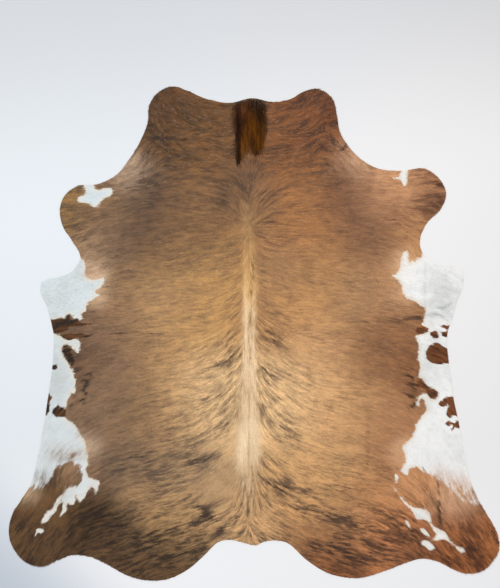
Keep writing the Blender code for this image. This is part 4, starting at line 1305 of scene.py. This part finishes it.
def skin_finish():
    """The skin between the roots has the coat's colour, a little darker: painted shade under the locks."""
    f = Finish("hair side of the skin", Specular_IOR_Level=0.2)
    place = f.place()
    colour, whiteness, _ = coat_colour(f, f.noise(SKIN_TUFTS, 2, place))
    pores = f.noise(PORES, 3, place)
    brown_tone = COAT_GAIN * 0.8
    tone = brown_tone + whiteness * (1.0 - brown_tone)
    bump = f.node("Bump", {}, {"Strength": 0.3, "Distance": 0.6 * MM, "Height": pores})
    return f.finish(Base_Color=f.scaled(colour, tone), Roughness=f.clamp(0.62 + 0.2 * (pores - 0.5)),
                    Normal=bump)


def suede_finish():
    f = Finish("suede back and cut edge", Specular_IOR_Level=0.25, Sheen_Weight=0.15)
    place = f.place()
    patches, nap = f.noise(SUEDE_PATCHES, 5, place), f.noise(SUEDE_NAP, 4, place)
    share = f.clamp(0.5 + 1.6 * (patches - 0.5) + 0.7 * (nap - 0.5))
    colour = f.mix(share, SUEDE_LIGHT, SUEDE_DARK)
    bump = f.node("Bump", {}, {"Strength": 0.4, "Distance": 0.8 * MM, "Height": nap})
    return f.finish(Base_Color=colour, Roughness=f.clamp(0.78 + 0.25 * (nap - 0.5)), Normal=bump)


def floor_finish():
    """The floor, in painted light and shade: warmer on the right, darker far off and in its near left
    corner, and pale in front.
    """
    f = Finish("pale painted floor", Roughness=0.6, Specular_IOR_Level=0.2)
    x, y, _ = f.parts(f.place())
    blotch = f.noise(FLOOR_BLOTCHES, 3, f.place()) - 0.5
    floor = FLOOR
    for shade in FLOOR_LIGHT_AND_SHADE:
        along = shade.x * x + shade.y * y + shade.blotch * blotch
        floor = f.mix(shade.share * f.fade(along, shade.start, shade.full), floor, shade.colour)
    return f.finish(Base_Color=floor)


# --- Making the rug -----------------------------------------------------------------------------------------

def strewn(loop, spacing, rng):
    """Places for roots inside a loop, in even rows from which each strays a little."""
    places = lattice_inside(loop, spacing)
    return places + rng.uniform(-ROOT_STRAY, ROOT_STRAY, places.shape) * spacing


def coat_parts(places):
    """The roots' places, shared out over six parts of the hide."""
    for side in ("left", "right"):
        on_side = (places[:, 0] < 0) == (side == "left")
        for part, (low, high) in COAT_PARTS.items():
            yield f"coat_{part}_{side}", places[(places[:, 1] >= low) & (places[:, 1] < high) & on_side]


def make_coat(hide, comber):
    """The short coat over the whole hide, in six pieces."""
    rng = np.random.default_rng(SEED + 1)
    made = []
    for name, places in coat_parts(strewn(inset(hide.rim, RIM_INSET), COAT.spacing, rng)):
        heading = lock_headings(places, hide.maps, rng)
        size = lock_sizes(places, heading, COAT.length, hide.rim, rng)
        values = coat_values(places + onward(heading, COAT.colour_at * size), hide.maps)
        from_edge = np.abs(values["marks"][:, :2]).min(1)
        size = size * (1 - TRIM * np.exp(-(from_edge / TRIM_REACH) ** 2))
        roots = root_points(places, heading, size, COAT.lift, hide.heights, values, rng)
        made.append(comb(name, COAT, places, roots, comber))
    return made


def mane_tones(points):
    """The mane's colour at each point, a blend of its tones."""
    weights = [np.exp(-0.5 * (((points[:, 0] - t.x) / t.wide) ** 2 + ((points[:, 1] - t.y) / t.long) ** 2))
               for t in MANE_TONES]
    return shares(weights) @ np.array([linear(t.colour) for t in MANE_TONES])


def make_mane(hide, comber):
    """The long hair of the neck, combed down from its end, its edges thin and uneven."""
    rng = np.random.default_rng(SEED + 2)
    bed = smooth_loop(MANE_LOOP, 1.0) * CM
    places = strewn(bed, MANE.spacing, rng)
    places = places[depth_inside(places, inset(hide.rim, RIM_INSET)) > 0]
    density = 0.15 + depth_inside(places, bed) / MANE_THINNING
    places = places[rng.random(len(places)) < np.clip(density, 0, 1)]
    sway = MANE_SWAY * hide.maps["wave"].at(places)
    heading = np.radians(sway + MANE.spread * rng.normal(size=len(places)) - 90)
    size = lock_sizes(places, heading, MANE.length, hide.rim, rng)
    size = size * np.interp(places[:, 1] / CM, *MANE_END)
    values = {"tone": mane_tones((places + onward(heading, MANE.colour_at * size)) / CM)}
    roots = root_points(places, heading, size, MANE.lift, hide.heights, values, rng)
    return comb("mane", MANE, places, roots, comber)


def make_floor(material):
    square = ((-1, -1), (1, -1), (1, 1), (-1, 1))
    corners = [(x * FLOOR_REACH, y * FLOOR_REACH, -FLOOR_GAP) for x, y in square]
    mesh = bpy.data.meshes.new("floor")
    mesh.from_pydata(corners, [], [(0, 1, 2, 3)])
    mesh.materials.append(material)
    return new_object("floor", mesh)


def make_light(name, place, size, watts, colour):
    """A square lamp that faces the hide."""
    light = bpy.data.lights.new(name, "AREA")
    light.shape = "SQUARE"
    light.size = size
    light.energy = watts
    light.color = colour
    lamp = new_object(name, light)
    lamp.location = place
    lamp.rotation_euler = (-Vector(place)).to_track_quat("-Z", "Y").to_euler()
    lamp.visible_camera = False


def make_view():
    camera = bpy.data.cameras.new("camera")
    camera.lens = LENS
    camera.sensor_width = SENSOR
    camera.clip_end = FAR_CLIP
    eye = new_object("camera", camera)
    eye.location = (*VIEW_CENTRE, VIEW_HEIGHT * LENS / SENSOR)
    bpy.context.scene.camera = eye


def make_world(strength, colour):
    world = bpy.data.worlds.new("studio")
    world.use_nodes = True
    sky = world.node_tree.nodes["Background"].inputs
    sky["Color"].default_value = (*colour, 1.0)
    sky["Strength"].default_value = strength
    bpy.context.scene.world = world


corners, triangles = frame_mesh()
rim = smooth_loop(frame_outline(corners, triangles), CUT_STEP)
heights = with_creases(frame_heights(corners, triangles))
hide = SimpleNamespace(rim=rim, heights=heights, maps=streak_maps())
hair, suede = hair_finish(), suede_finish()
pelt = make_pelt(hide, [skin_finish(), suede])
lock = make_lock()
tree = comb_tree()
coats = make_coat(hide, (tree, lock, hair))
coats.append(make_mane(hide, (tree, lock, mane_finish())))
bpy.data.objects.remove(lock)

floor = make_floor(floor_finish())
make_world(strength=0.6, colour=(0.97, 0.985, 1.0))
make_light("soft light", place=(-1.2, 1.6, 4.6), size=4.0, watts=145, colour=(1.0, 0.99, 0.98))
make_view()
bpy.context.scene.view_settings.view_transform = "Standard"

for piece in [pelt, *coats]:
    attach(piece, "root")
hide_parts("hide")
